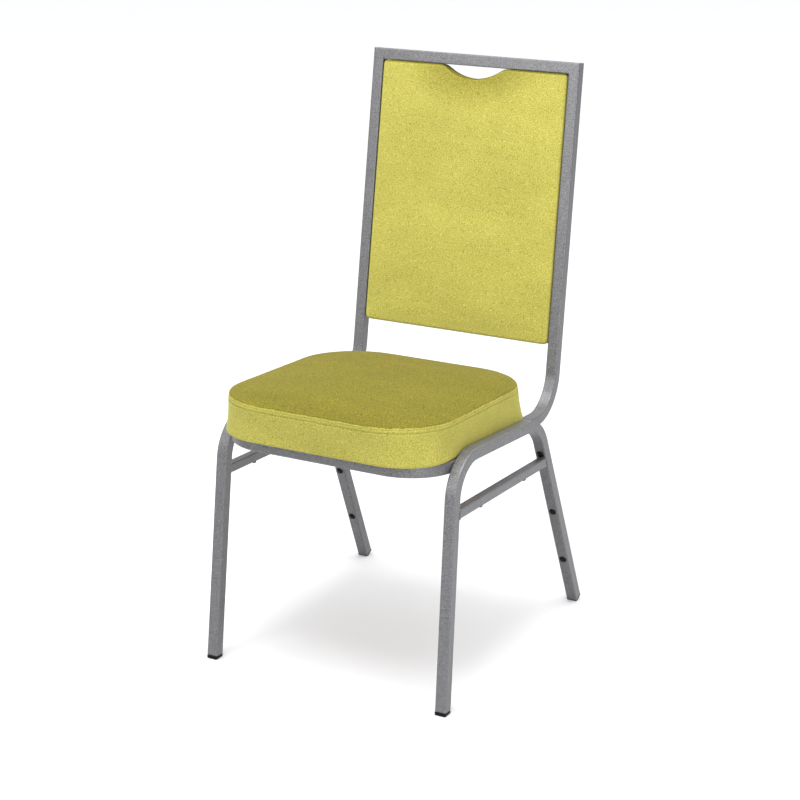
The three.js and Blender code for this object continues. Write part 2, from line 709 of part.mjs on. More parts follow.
// The outer back: a flat tray whose rim is notched where the lugs pass.
function rearPanel() {
  const base = slab(padOutline(0), PAD_REAR, PAD_REAR + REAR_PANEL);
  const outer = slab(padOutline(0), PAD_REAR, lugFront);
  const inner = slab(padOutline(REAR_PANEL_RIM), PAD_REAR - OVERRUN, lugFront + OVERRUN);
  let body = base.add(outer.subtract(inner));
  const half = LUG_WIDTH / 2 + GAP;
  const reach = 2 * REAR_PANEL_RIM;
  for (const height of lugStations)
    for (const side of [-1, 1]) {
      const x = side * padHalfWidth(height);
      const notch = roundedRectangle(
        new THREE.Shape(), x - reach, height - half, x + reach, height + half, SMALLEST_FILLET,
      );
      body = body.subtract(slab(notch, PAD_REAR + REAR_PANEL, lugFront + OVERRUN));
    }
  return body;
}

function lug(side, height) {
  const outer = uprightX(height + LUG_WIDTH / 2) - TUBE / 2 - GAP;
  const [x0, x1] = side > 0 ? [outer - LUG_REACH, outer] : [-outer, -outer + LUG_REACH];
  const plate = roundedRectangle(
    new THREE.Shape(), x0, height - LUG_WIDTH / 2, x1, height + LUG_WIDTH / 2, TUBE_CORNER,
  );
  const low = lugFront - LUG_THICKNESS;
  const place = v(side * lugScrewX(height), height, 0);
  const hole = BACK_SCREW.shank + 2 * GAP;
  return drilled(slab(plate, low, lugFront), [place], hole, low - OVERRUN, lugFront + OVERRUN);
}

piece("back_board", placed(backBoard(), backFrame), plywood);
const backFoam = keep(padForm(foamInset, 0), v(0, 0, BACK_BOARD / 2 + GAP), floorUp);
piece("back_foam", placed(backFoam, backFrame), foamGrey);
piece("back_cover", placed(backCover(), backFrame), velvet);
piece("back_rear_panel", placed(rearPanel(), backFrame), velvet);

lugStations.forEach((height, i) => {
  for (const [label, side] of [["right", 1], ["left", -1]]) {
    const name = (i ? "upper_" : "lower_") + label;
    piece("back_lug_" + name, placed(lug(side, height), backFrame), coatedSteel);
    const place = new THREE.Matrix4().makeTranslation(side * lugScrewX(height), height, backScrewHead);
    const screw = placed(panScrew(BACK_SCREW, backScrewEnd - backScrewHead), place);
    piece("back_screw_" + name, placed(screw, backFrame), zincSteel);
  }
});

// ---- Origin under the middle of the chair ----
const box = new THREE.Box3().setFromObject(chair);
const middle = box.getCenter(v(0, 0, 0));
chair.children.forEach((mesh) => mesh.position.set(0, -middle.y, 0));

export default chair;
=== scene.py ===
import math

import bmesh
import bpy
import numpy as np
from mathutils import Matrix, Vector
from mathutils.kdtree import KDTree


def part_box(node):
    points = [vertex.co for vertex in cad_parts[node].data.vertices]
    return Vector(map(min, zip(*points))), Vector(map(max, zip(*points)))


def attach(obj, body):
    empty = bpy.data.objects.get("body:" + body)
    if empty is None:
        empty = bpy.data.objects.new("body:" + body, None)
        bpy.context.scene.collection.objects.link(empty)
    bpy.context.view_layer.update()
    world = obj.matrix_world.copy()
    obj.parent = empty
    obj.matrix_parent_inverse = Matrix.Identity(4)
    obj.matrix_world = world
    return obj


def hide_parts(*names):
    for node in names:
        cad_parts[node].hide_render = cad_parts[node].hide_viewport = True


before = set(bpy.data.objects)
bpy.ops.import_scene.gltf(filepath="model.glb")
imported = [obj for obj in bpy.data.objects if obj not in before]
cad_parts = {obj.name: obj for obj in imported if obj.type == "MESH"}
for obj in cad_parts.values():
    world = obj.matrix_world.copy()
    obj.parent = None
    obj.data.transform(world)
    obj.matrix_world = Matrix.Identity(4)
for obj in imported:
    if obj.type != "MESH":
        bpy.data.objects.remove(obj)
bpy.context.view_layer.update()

MM = 0.001
X = Vector((1, 0, 0))
Y = Vector((0, 1, 0))
UP = Vector((0, 0, 1))

# ---- Square tube ----
TUBE = 19 * MM
TUBE_CORNER = 2.2 * MM
STRETCHER = 15 * MM
STRETCHER_CORNER = 1.8 * MM
CORNER_FACETS = 4
FLAT_SUPPORT = 0.5 * MM  # a line beside each round corner, so that the flats shade flat
BEND_STEP = math.radians(2.5)
BEND_DENT = 0.5 * MM  # how far the inside of a bend is drawn in
CLEARANCE = 0.3 * MM

# ---- Seat and back frame ----
SEAT_TILT = math.radians(3.3)
BACK_RECLINE = math.radians(8.2)
SEAT_LENGTH = 448.7 * MM
CROSS_TUBE_STATION = 340 * MM
BACK_NARROWING = 9 * MM
SEAT_BACK_BEND_R = 72 * MM
SEAT_CORNER_R = 76 * MM

# ---- Side frames ----
RAIL_SETBACK = 58 * MM
RAIL_LENGTH = 293 * MM
RAIL_RISE_FRONT = 15 * MM
RAIL_RISE_REAR = 7.5 * MM
FRONT_LEG_RAKE = math.radians(6.3)
REAR_LEG_RAKE = math.radians(23.6)
FRONT_LEG_BEND_R = 65 * MM
REAR_LEG_BEND_R = 75 * MM
SPLAY = math.radians(0.9)
STRETCHER_DROP_FRONT = 84.1 * MM
STRETCHER_DROP_REAR = 77 * MM
STUD_INSET_FRONT = 93 * MM
STUD_INSET_REAR = 85 * MM
FRONT_FOOT_HEIGHT = 5.8 * MM
REAR_FOOT_FLANGE = 2.6 * MM
REAR_FOOT_FLAT = 0.6 * MM
BUFFERS_FROM_FOOT = (99 * MM, 212 * MM)
BUFFER_OVER_STRETCHER = 2.4 * MM
BUFFER_R = 5.5 * MM
BUFFER_HEIGHT = 3.2 * MM
BUTTON_RIM = 0.8 * MM
STUD_R = 4 * MM
STUD_HEIGHT = 5.5 * MM
WELD_R = 1.5 * MM
WELD_RIPPLE = 2.6 * MM
WELD_STEP = 0.6 * MM
WELD_SIDES = 8
RAIL_WELDS = ((0.24, 0.38), (0.62, 0.76))  # from and to, as shares of the rail
FOOT_OVERSIZE = 0.5 * MM
FOOT_EDGE_R = 2.2 * MM
DOME_START = 0.45  # the share of a button's height below its dome

# ---- Seat cushion ----
CUSHION_SIDE_INSET = 2.3 * MM
CUSHION_BOTTOM = (19.6 * MM, 56.7 * MM, 82.6 * MM)  # front overhang, gap at the rear, corner radius
CUSHION_TOP = (31.2 * MM, 65.3 * MM, 110 * MM)
CUSHION_EDGE_HEIGHT = 74.8 * MM
CUSHION_EDGE_R = 3.6 * MM
CUSHION_CROWN = 7.6 * MM
HEM_BOTTOM = TUBE / 2 + CLEARANCE
HEM_WIDTH = 16 * MM
HEM_THICKNESS = 1.2 * MM
SEAT_BOARD = 9 * MM
CUSHION_SWELL = 1.4 * MM  # how much smaller the cushion is before it is blown up
SEAM_DEPTH = 0.7 * MM
SEAM_BELOW_EDGE = 1.0 * MM  # the seam between top and side, under the rounded edge
TOPSTITCH_HEIGHT = 64.6 * MM
TOPSTITCH_DEPTH = 0.8 * MM
STITCH_PITCH = 4.6 * MM
STITCH_LENGTH = 3.4 * MM
THREAD_R = 0.45 * MM
THREAD_SIDES = 6
PUCKERS = ((19 * MM, 0.32 * MM, 0.4), (31 * MM, 0.26 * MM, 2.1), (53 * MM, 0.3 * MM, 4.0))
PUCKER_REACH = 9 * MM
SEAT_SEWN_REACH = 9 * MM
SEAT_VOXEL = 5 * MM
SEAT_SWELL_CAP = 3.2 * MM
CUSHION_STRAIGHT = 44  # vertices along each straight side
CUSHION_CORNER = 44  # and round each corner

# ---- Back pad ----
PAD_SIDE_GAP = 1.7 * MM
PAD_BOTTOM = 111.7 * MM
PAD_FRONT = 13 * MM
PAD_REAR = -12.5 * MM
PAD_CORNER_R = 9 * MM
PAD_EDGE_R = 5 * MM
PAD_TOP_EASE = 1.4 * MM  # how far the top corners are drawn in
PAD_SWELL = 1.6 * MM
BACK_BOARD = 8 * MM
REAR_PANEL = 3 * MM
HANDHOLD_WIDTH = 112 * MM
HANDHOLD_DEPTH = 20 * MM
HANDHOLD_FILLET = 3 * MM
PAD_SEWN_REACH = 7 * MM
PAD_VOXEL = 4.5 * MM
PAD_SWELL_CAP = 3 * MM
PAD_ACROSS = 60  # vertices across, up, and round each lower corner
PAD_ALONG = 72
PAD_ARC = 6

# ---- Cloth simulation ----
SWELL_FRAMES = 20
CLOTH_PRESSURE = 4.0
NEIGHBOURS = 6

# ---- Camera, light and floor ----
CAMERA_AZIMUTH = math.radians(28.68)
CAMERA_ELEVATION = math.radians(18.24)
CAMERA_DISTANCE = 3.224
CAMERA_TARGET = Vector((0.003, 0.001, 0.410))
CAMERA_LENS = 88.5  # mm
CAMERA_SENSOR = 36  # mm
HORIZON_STRENGTH = 0.36
ZENITH_STRENGTH = 2.6
FLOOR_REACH = 9.0  # to each side, in front, and up the backdrop
FLOOR_DEPTH = 15.0
FLOOR_BEND_R = 3.0


# ---- Materials ----
def srgb(code):
    """A linear colour from an sRGB hex value."""
    parts = [int(code[i : i + 2], 16) / 255 for i in (1, 3, 5)]
    return (*[c / 12.92 if c <= 0.04045 else ((c + 0.055) / 1.055) ** 2.4 for c in parts], 1)


def add(material, kind, inputs=None, **settings):
    """Adds a node with its settings, and its inputs as values or as links from other nodes' sockets."""
    node = material.node_tree.nodes.new(kind)
    for name, value in settings.items():
        setattr(node, name, value)
    for key, value in (inputs or {}).items():
        if isinstance(value, bpy.types.NodeSocket):
            material.node_tree.links.new(value, node.inputs[key])
        else:
            node.inputs[key].default_value = value
    return node


def surface(name, **values):
    """A material with one Principled shader, and the object's own coordinates for its patterns."""
    material = bpy.data.materials.new(name)
    material.use_nodes = True
    shader = material.node_tree.nodes["Principled BSDF"]
    for socket, value in values.items():
        shader.inputs[socket.replace("_", " ")].default_value = value
    place = add(material, "ShaderNodeTexCoord").outputs
    return material, shader, place


def feed(shader, **sockets):
    """Links other nodes' sockets to a shader's inputs."""
    for name, socket in sockets.items():
        shader.id_data.links.new(socket, shader.inputs[name.replace("_", " ")])


def per(size):
    """The noise scale that gives features of this size."""
    return 1 / size


def powder_coat():
    """Fine-textured silver-grey powder coat, sprayed and baked: a satin grey with a sandy grain."""
    material, shader, place = surface("silver_powder_coat", Metallic=0.35, IOR=1.5)
    # The grain is 0.5 mm in the real coat and drawn 1.2 mm wide, so that it shows.
    grain = add(
        material, "ShaderNodeTexNoise",
        {"Vector": place["Object"], "Scale": per(1.2 * MM), "Detail": 1.0, "Roughness": 0.5},
    )
    cloud = add(
        material, "ShaderNodeTexNoise",
        {"Vector": place["Object"], "Scale": per(30 * MM), "Detail": 2.0},
    )
    speckle = add(
        material, "ShaderNodeMapRange",
        {"Value": grain.outputs["Fac"], "From Min": 0.33, "From Max": 0.67},
    )
    tone = add(
        material, "ShaderNodeMix",
        {"Factor": speckle.outputs["Result"], 6: srgb("#3f3f40"), 7: srgb("#757577")},
        data_type="RGBA",
    )
    thickness = add(
        material, "ShaderNodeMapRange",
        {"Value": cloud.outputs["Fac"], "From Min": 0.3, "From Max": 0.7, "To Min": 0.97, "To Max": 1.03},
    )
    drift = add(
        material, "ShaderNodeVectorMath",
        {0: tone.outputs[2], "Scale": thickness.outputs["Result"]}, operation="SCALE",
    )
    gloss = add(
        material, "ShaderNodeMapRange",
        {"Value": grain.outputs["Fac"], "From Min": 0.3, "From Max": 0.7, "To Min": 0.3, "To Max": 0.48},
    )
    bump = add(
        material, "ShaderNodeBump",
        {"Height": grain.outputs["Fac"], "Strength": 0.5, "Distance": 0.15 * MM},
    )
    colour, roughness = drift.outputs["Vector"], gloss.outputs["Result"]
    feed(shader, Base_Color=colour, Roughness=roughness, Normal=bump.outputs["Normal"])
    return material


def velvet(hand_hold):
    """Short-pile polyester velvet, lime olive. Faces that look up, such as the seat's top, get painted shade,
    and the upright faces are painted lighter: lit and shaded copies of the velvet that stand for how light
    falls on the pile. Tufts mottle it, brushing leaves long soft marks, and painted shade darkens it under
    the hand-hold, below the top rail."""
    material, shader, place = surface(
        "lime_velvet", Roughness=0.95, IOR=1.45, Specular_IOR_Level=0.1, Sheen_Weight=0.18,
        Sheen_Roughness=0.45, Sheen_Tint=srgb("#ece8a4"),
    )
    # Tufts are 0.8 mm in the real pile and drawn 1.2 mm wide, so that they show.
    rows = add(material, "ShaderNodeMapping", {"Vector": place["Object"], "Scale": (0.65, 0.65, 1.2)})
    tufts = add(
        material, "ShaderNodeTexNoise",
        {"Vector": rows.outputs["Vector"], "Scale": per(1.2 * MM), "Detail": 1.0, "Roughness": 0.5},
    )
    tuft = add(
        material, "ShaderNodeMapRange",
        {"Value": tufts.outputs["Fac"], "From Min": 0.34, "From Max": 0.66},
    )
    brushing = add(material, "ShaderNodeMapping", {"Vector": place["Object"], "Scale": (0.45, 1, 1)})
    marks = add(
        material, "ShaderNodeTexNoise",
        {"Vector": brushing.outputs["Vector"], "Scale": per(60 * MM), "Detail": 3.5, "Roughness": 0.5,
         "Distortion": 0.5},
    )
    facing = add(material, "ShaderNodeSeparateXYZ", {"Vector": place["Normal"]})
    # Painted shade: the more a face looks up, the more it takes the darker copy of the velvet.
    up_faces_painted_shade = add(
        material, "ShaderNodeMapRange",
        {"Value": facing.outputs["Z"], "From Min": 0.3, "From Max": 0.85}, interpolation_type="SMOOTHSTEP",
    )
    # Painted shade round the hand-hold, below the top rail: darkest at its middle, fading out over 85 mm.
    about_hold = add(material, "ShaderNodeMapping", {"Vector": place["Object"], "Location": -hand_hold})
    spread = add(
        material, "ShaderNodeVectorMath", {0: about_hold.outputs["Vector"], 1: (0.6, 1, 1)},
        operation="MULTIPLY",
    )
    reach = add(material, "ShaderNodeVectorMath", {0: spread.outputs["Vector"]}, operation="LENGTH")
    painted_hold_shade = add(
        material, "ShaderNodeMapRange",
        {"Value": reach.outputs["Value"], "From Min": 16 * MM, "From Max": 85 * MM, "To Min": 0.62,
         "To Max": 0},
        interpolation_type="SMOOTHSTEP",
    )
    # Painted shade mask: the up-facing painted shade or the hand-hold's painted shade, whichever is stronger.
    painted_shade_mask = add(
        material, "ShaderNodeMath", {0: up_faces_painted_shade.outputs["Result"], 1: painted_hold_shade.outputs["Result"]},
        operation="MAXIMUM",
    )
    # Lit and shaded copies of one velvet: the lighter one is painted light for upright faces, the darker one
    # is painted shade.
    painted_lit_velvet = add(
        material, "ShaderNodeMix",
        {"Factor": tuft.outputs["Result"], 6: srgb("#7e782a"), 7: srgb("#a39d54")}, data_type="RGBA",
    )
    painted_shaded_velvet = add(
        material, "ShaderNodeMix",
        {"Factor": tuft.outputs["Result"], 6: srgb("#413b06"), 7: srgb("#6e661b")}, data_type="RGBA",
    )
    # Mixes the painted lit and painted shaded copies by the painted shade mask.
    painted_light_and_shade = add(
        material, "ShaderNodeMix",
        {"Factor": painted_shade_mask.outputs["Value"], 6: painted_lit_velvet.outputs[2], 7: painted_shaded_velvet.outputs[2]},
        data_type="RGBA",
    )
    shade = add(
        material, "ShaderNodeMapRange",
        {"Value": marks.outputs["Fac"], "From Min": 0.3, "From Max": 0.7, "To Min": 0.91, "To Max": 1.05},
    )
    marked = add(
        material, "ShaderNodeVectorMath",
        {0: painted_light_and_shade.outputs[2], "Scale": shade.outputs["Result"]}, operation="SCALE",
    )
    bump = add(
        material, "ShaderNodeBump",
        {"Height": tufts.outputs["Fac"], "Strength": 0.6, "Distance": 0.25 * MM},
    )
    feed(shader, Base_Color=marked.outputs["Vector"], Normal=bump.outputs["Normal"])
    return material


def thread():
    """Twisted polyester sewing thread, a shade darker than the velvet."""
    material, shader, place = surface("olive_thread", Roughness=0.8, Specular_IOR_Level=0.2)
    twist = add(
        material, "ShaderNodeTexNoise", {"Vector": place["Object"], "Scale": per(0.8 * MM), "Detail": 1.0}
    )
    tone = add(
        material, "ShaderNodeMix",
        {"Factor": twist.outputs["Fac"], 6: srgb("#625b14"), 7: srgb("#827a29")}, data_type="RGBA",
    )
    feed(shader, Base_Color=tone.outputs[2])
    return material


def black_plastic():
    """Injection-moulded black polyethylene: nearly black, with a soft gloss and a faint moulded grain."""
    material, shader, place = surface(
        "moulded_black_plastic", Roughness=0.4, IOR=1.5, Specular_IOR_Level=0.12
    )
    grain = add(
        material, "ShaderNodeTexNoise", {"Vector": place["Object"], "Scale": per(0.9 * MM), "Detail": 2.0}
    )
    scuff = add(
        material, "ShaderNodeTexNoise", {"Vector": place["Object"], "Scale": per(7 * MM), "Detail": 3.0}
    )
    tone = add(
        material, "ShaderNodeMix",
        {"Factor": scuff.outputs["Fac"], 6: srgb("#040404"), 7: srgb("#0e0e0f")}, data_type="RGBA",
    )
    bump = add(
        material, "ShaderNodeBump", {"Height": grain.outputs["Fac"], "Strength": 0.2, "Distance": 0.05 * MM}
    )
    feed(shader, Base_Color=tone.outputs[2], Normal=bump.outputs["Normal"])
    return material


def zinc_plate():
    """Bright zinc-plated steel: a cool metal with faint streaks."""
    material, shader, place = surface("zinc_plated_steel", Metallic=1.0, Roughness=0.35)
    streaks = add(
        material, "ShaderNodeTexNoise", {"Vector": place["Object"], "Scale": per(1.5 * MM), "Detail": 3.0}
    )
    tone = add(
        material, "ShaderNodeMix",
        {"Factor": streaks.outputs["Fac"], 6: srgb("#a9abb0"), 7: srgb("#d0d1d4")}, data_type="RGBA",
    )
    feed(shader, Base_Color=tone.outputs[2])
    return material


def plywood():
    """Unfinished beech plywood: rotary-cut face grain along the board, and 1.5 mm plies on its edges."""
    material, shader, place = surface("beech_plywood", Roughness=0.7, IOR=1.5)
    along = add(material, "ShaderNodeMapping", {"Vector": place["Object"], "Scale": (1, 0.07, 1)})
    grain = add(
        material, "ShaderNodeTexNoise",
        {"Vector": along.outputs["Vector"], "Scale": per(2.5 * MM), "Detail": 4.0, "Roughness": 0.6,
         "Distortion": 0.4},
    )
    face = add(
        material, "ShaderNodeMix",
        {"Factor": grain.outputs["Fac"], 6: srgb("#b98f5d"), 7: srgb("#dcbd92")}, data_type="RGBA",
    )
    plies = add(
        material, "ShaderNodeTexWave",
        {"Vector": place["Object"], "Scale": per(3 * MM) / 20 * math.pi, "Distortion": 0.3},
        bands_direction="Z",
    )
    layered = add(
        material, "ShaderNodeMix",
        {"Factor": plies.outputs["Fac"], 6: srgb("#9c7446"), 7: srgb("#dcbd92")}, data_type="RGBA",
    )
    facing = add(material, "ShaderNodeSeparateXYZ", {"Vector": place["Normal"]})
    flat = add(material, "ShaderNodeMath", {0: facing.outputs["Z"]}, operation="ABSOLUTE")
    tone = add(
        material, "ShaderNodeMix",
        {"Factor": flat.outputs["Value"], 6: layered.outputs[2], 7: face.outputs[2]}, data_type="RGBA",
    )
    bump = add(
        material, "ShaderNodeBump", {"Height": grain.outputs["Fac"], "Strength": 0.3, "Distance": 0.1 * MM}
    )
    feed(shader, Base_Color=tone.outputs[2], Normal=bump.outputs["Normal"])
    return material


coat_material = powder_coat()
thread_material = thread()
plastic_material = black_plastic()
zinc_material = zinc_plate()
plywood_material = plywood()


# ---- Pieces ----
def mesh_object(name, bm, material):
    """A smooth-shaded object of one material."""
    mesh = bpy.data.meshes.new(name)
    bm.to_mesh(mesh)
    bm.free()
    mesh.polygons.foreach_set("use_smooth", [True] * len(mesh.polygons))
    mesh.materials.append(material)
    made = bpy.data.objects.new(name, mesh)
    bpy.context.scene.collection.objects.link(made)
    return made


def piece(name, bm, material, replaces=(), sharp=math.radians(40)):
    """A mesh piece that rides on the chair's one body, and stands for CAD nodes where it names them."""
    bmesh.ops.recalc_face_normals(bm, faces=bm.faces)
    made = mesh_object(name, bm, material)
    made.data.set_sharp_from_angle(angle=sharp)
    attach(made, "root")
    if replaces:
        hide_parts(*replaces)
    return made


def circle(bm, centre, across, third, radius, sides):
    """A ring of vertices in the plane of two unit vectors."""
    angles = [2 * math.pi * i / sides for i in range(sides)]
    return [bm.verts.new(centre + (across * math.cos(a) + third * math.sin(a)) * radius) for a in angles]


def rings_to_faces(bm, rings, closed=True):
    """Joins rings of equally many vertices by quads."""
    for lower, upper in zip(rings, rings[1:]):
        count = len(lower)
        for i in range(count if closed else count - 1):
            j = (i + 1) % count
            bm.faces.new((lower[i], lower[j], upper[j], upper[i]))


def rounded_square(size, corner):
    """Points round a square section, with a pair on each flat close to its corners."""
    half = size / 2
    points = []
    for quarter in range(4):
        turn = Matrix.Rotation(quarter * math.pi / 2, 2)
        local = [Vector((half, half - corner - FLAT_SUPPORT))]
        for k in range(CORNER_FACETS + 1):
            a = math.pi / 2 * k / CORNER_FACETS
            local.append(Vector((half - corner + corner * math.cos(a), half - corner + corner * math.sin(a))))
        local.append(Vector((half - corner - FLAT_SUPPORT, half)))
        points += [turn @ p for p in local]
    return points


def route(corners, radii, up_at):
    """Stations along straight lines and bends: point, direction, the side that stays up, and the way
    to a bend's centre."""
    stations = []

    def station(point, along, inward=None):
        stations.append((point.copy(), along.normalized(), up_at(point, along), inward))

    station(corners[0], corners[1] - corners[0])
    for i in range(1, len(corners) - 1):
        before = (corners[i] - corners[i - 1]).normalized()
        after = (corners[i + 1] - corners[i]).normalized()
        turn = before.angle(after)
        axis = before.cross(after).normalized()
        start = corners[i] - before * radii[i - 1] * math.tan(turn / 2)
        centre = start + axis.cross(before) * radii[i - 1]
        steps = max(2, round(turn / BEND_STEP))
        for k in range(steps + 1):
            spin = Matrix.Rotation(turn * k / steps, 3, axis)
            arm = spin @ (start - centre)
            ease = math.sin(math.pi * k / steps) ** 0.5 if 0 < k < steps else 0
            station(centre + arm, spin @ before, -arm.normalized() * ease)
    station(corners[-1], corners[-1] - corners[-2])
    return stations


def sweep(section, stations, matrix=Matrix.Identity(4)):
    """A closed tube of a section along stations, drawn in slightly on the inside of its bends."""
    bm = bmesh.new()
    rings = []
    half = max(p.x for p in section)
    for point, along, up, inward in stations:
        up = (up - along * up.dot(along)).normalized()
        side = up.cross(along)
        ring = []
        for p in section:
            offset = side * p.x + up * p.y
            if inward is not None:
                share = offset.dot(inward) / half
                across = abs(offset.dot(inward.cross(along))) / half if inward.length else 1
                if share > 0:
                    offset -= inward * BEND_DENT * share * max(0, 1 - across**2)
            ring.append(bm.verts.new(matrix @ (point + offset)))
        rings.append(ring)
    rings_to_faces(bm, rings)
    bm.faces.new(rings[0])
    bm.faces.new(rings[-1])
    return bm


def trim(bm, point, normal, side=0):
    """Cuts away what lies on the side of a plane that its normal points to, and closes the cut. With a
    side, it cuts only what is right (1) or left (-1) of the chair's middle."""
    geometry = [v for v in bm.verts if v.co.x * side >= 0]
    geometry += [e for e in bm.edges if all(v.co.x * side >= 0 for v in e.verts)]
    geometry += [f for f in bm.faces if all(v.co.x * side >= 0 for v in f.verts)]
    bmesh.ops.bisect_plane(bm, geom=geometry, plane_co=point, plane_no=normal, clear_outer=True)
    bmesh.ops.holes_fill(bm, edges=[e for e in bm.edges if e.is_boundary])
    return bm


def turned(profile, matrix, segments=32):
    """A turned solid about the matrix's z axis, from (radius, height) points that start and end on it."""
    bm = bmesh.new()
    rings = [circle(bm, UP * height, X, Y, radius, segments) for radius, height in profile[1:-1]]
    rings_to_faces(bm, rings)
    for ring, (_, height) in ((rings[0], profile[0]), (rings[-1], profile[-1])):
        pole = bm.verts.new(UP * height)
        for i in range(segments):
            bm.faces.new((ring[i], ring[(i + 1) % segments], pole))
    bm.transform(matrix)
    return bm


# ---- Frames of reference, from the frame's own nodes ----
def middle(node):
    low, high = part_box(node)
    return (low + high) / 2


along_seat = Vector((0, math.cos(SEAT_TILT), -math.sin(SEAT_TILT)))
seat_up = Vector((0, math.sin(SEAT_TILT), math.cos(SEAT_TILT)))
along_back = Vector((0, math.sin(BACK_RECLINE), math.cos(BACK_RECLINE)))
back_front = Vector((0, -math.cos(BACK_RECLINE), math.sin(BACK_RECLINE)))

seat_front = middle("rear_cross_tube") - along_seat * CROSS_TUBE_STATION
crossing = seat_front + along_seat * SEAT_LENGTH
back_length = (middle("top_rail") - crossing).length + TUBE / 2
frame_half_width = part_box("side_tube_right")[1].x
seat_tube_x = frame_half_width - TUBE / 2
top_tube_x = seat_tube_x - BACK_NARROWING / 2
mitre_height = back_length - TUBE / 2


def basis(x, y, z, origin):
    matrix = Matrix((x, y, z)).transposed().to_4x4()
    matrix.translation = origin
    return matrix


seat_frame = basis(X, along_seat, seat_up, seat_front)
back_frame = basis(X, along_back, back_front, crossing)


def on_seat(x, station):
    point = seat_front + along_seat * station
    point.x = x
    return point


def on_back(x, height):
    point = crossing + along_back * height
    point.x = x
    return point


def upright_x(height):
    return seat_tube_x + (top_tube_x - seat_tube_x) * height / back_length


velvet_material = velvet(on_back(0, back_length - TUBE))

# ---- Seat and back frame ----
tube_section = rounded_square(TUBE, TUBE_CORNER)
stretcher_section = rounded_square(STRETCHER, STRETCHER_CORNER)


def mitre(side):
    """A point on the mitre's plane, the way up the upright, and the plane's normal towards the rail's end."""
    point = on_back(side * upright_x(mitre_height), mitre_height)
    upright = (point - on_seat(side * seat_tube_x, SEAT_LENGTH)).normalized()
    return point, upright, (upright + X * -side).normalized()


def seat_back_tube():
    corners = []
    for side in (1, -1):
        point, upright, _ = mitre(side)
        run = [
            point + upright * TUBE,
            on_seat(side * seat_tube_x, SEAT_LENGTH),
            on_seat(side * seat_tube_x, TUBE / 2),
        ]
        corners += run if side > 0 else run[::-1]

    def up_at(point, along):
        on_the_back = point.y > seat_front.y + SEAT_LENGTH / 2
        up = X.cross(along) if on_the_back else seat_up
        return up if up.dot(seat_up + back_front) > 0 else -up

    radii = [SEAT_BACK_BEND_R, SEAT_CORNER_R, SEAT_CORNER_R, SEAT_BACK_BEND_R]
    bm = sweep(tube_section, route(corners, radii, up_at))
    for side in (1, -1):
        point, _, normal = mitre(side)
        trim(bm, point, normal, side)
    piece("seat_back_tube", bm, coat_material, ["side_tube_right", "side_tube_left"])


def top_rail_tube():
    reach = top_tube_x + TUBE
    ends = [on_back(-reach, mitre_height), on_back(reach, mitre_height)]
    bm = sweep(tube_section, route(ends, [], lambda p, a: back_front))
    for side in (1, -1):
        point, _, normal = mitre(side)
        trim(bm, point, -normal)
    piece("top_rail_tube", bm, coat_material, ["top_rail"])


def cross_tube():
    reach = seat_tube_x - TUBE / 2
    ends = [on_seat(-reach, CROSS_TUBE_STATION), on_seat(reach, CROSS_TUBE_STATION)]
    bm = sweep(tube_section, route(ends, [], lambda p, a: seat_up))
    piece("cross_tube", bm, coat_material, ["rear_cross_tube"])


seat_back_tube()
top_rail_tube()
cross_tube()

# ---- Side frames, drawn in the plane x = 0 with the seat frame's foremost point over y = 0 ----
front_leg_down = Vector((0, -math.sin(FRONT_LEG_RAKE), -math.cos(FRONT_LEG_RAKE)))
rear_leg_down = Vector((0, math.sin(REAR_LEG_RAKE), -math.cos(REAR_LEG_RAKE)))


def seat_tube_height(y):
    return seat_front.z - y * math.tan(SEAT_TILT)


def on_leg(top, down, height):
    return top + down * ((height - top.z) / down.z)


rail_rear_y = RAIL_SETBACK + RAIL_LENGTH
rail_front = Vector((0, RAIL_SETBACK, seat_tube_height(RAIL_SETBACK) + RAIL_RISE_FRONT))
rail_rear = Vector((0, rail_rear_y, seat_tube_height(rail_rear_y) + RAIL_RISE_REAR))
rear_foot_height = (
    TUBE / 2 * math.sin(REAR_LEG_RAKE) + REAR_FOOT_FLANGE * math.cos(REAR_LEG_RAKE) - REAR_FOOT_FLAT
)
front_foot = on_leg(rail_front, front_leg_down, FRONT_FOOT_HEIGHT)
rear_foot = on_leg(rail_rear, rear_leg_down, rear_foot_height)
stretcher_front = on_leg(rail_front, front_leg_down, rail_front.z - STRETCHER_DROP_FRONT)
stretcher_rear = on_leg(rail_rear, rear_leg_down, rail_rear.z - STRETCHER_DROP_REAR)
along_stretcher = (stretcher_rear - stretcher_front).normalized()
stretcher_under = Vector((0, along_stretcher.z, -along_stretcher.y))
front_leg_rear = Vector((0, -front_leg_down.z, front_leg_down.y))
rear_leg_front = Vector((0, rear_leg_down.z, -rear_leg_down.y))


def side_matrices(side):
    """Places the side frame's plane beside the seat tube, leaning out about the rail, and the stretcher's
    plane, which is flush with the outer faces."""
    pivot = seat_tube_height(RAIL_SETBACK)
    beside = Matrix.Translation((side * (frame_half_width + CLEARANCE + TUBE / 2), seat_front.y, pivot))
    lean = beside @ Matrix.Rotation(-side * SPLAY, 4, "Y") @ Matrix.Translation((0, 0, -pivot))
    return lean, lean @ Matrix.Translation((side * (TUBE - STRETCHER) / 2, 0, 0))


def facing(point, out):
    matrix = UP.rotation_difference(out).to_matrix().to_4x4()
    matrix.translation = point
    return matrix


def leg_frame_tube(label, matrix):
    corners = [front_foot, rail_front, rail_rear, rear_foot]
    stations = route(corners, [FRONT_LEG_BEND_R, REAR_LEG_BEND_R], lambda p, along: along.cross(X))
    bm = sweep(tube_section, stations, matrix)
    piece("leg_tube_" + label, bm, coat_material, ["leg_frame_" + label])


def stretcher_tube(label, matrix):
    ends = [stretcher_front - along_stretcher * TUBE, stretcher_rear + along_stretcher * TUBE]
    bm = sweep(stretcher_section, route(ends, [], lambda p, a: stretcher_under))
    trim(bm, front_foot + front_leg_rear * (TUBE / 2), -front_leg_rear)
    trim(bm, rear_foot + rear_leg_front * (TUBE / 2), -rear_leg_front)
    bm.transform(matrix)
    piece("stretcher_tube_" + label, bm, coat_material, ["stretcher_" + label])


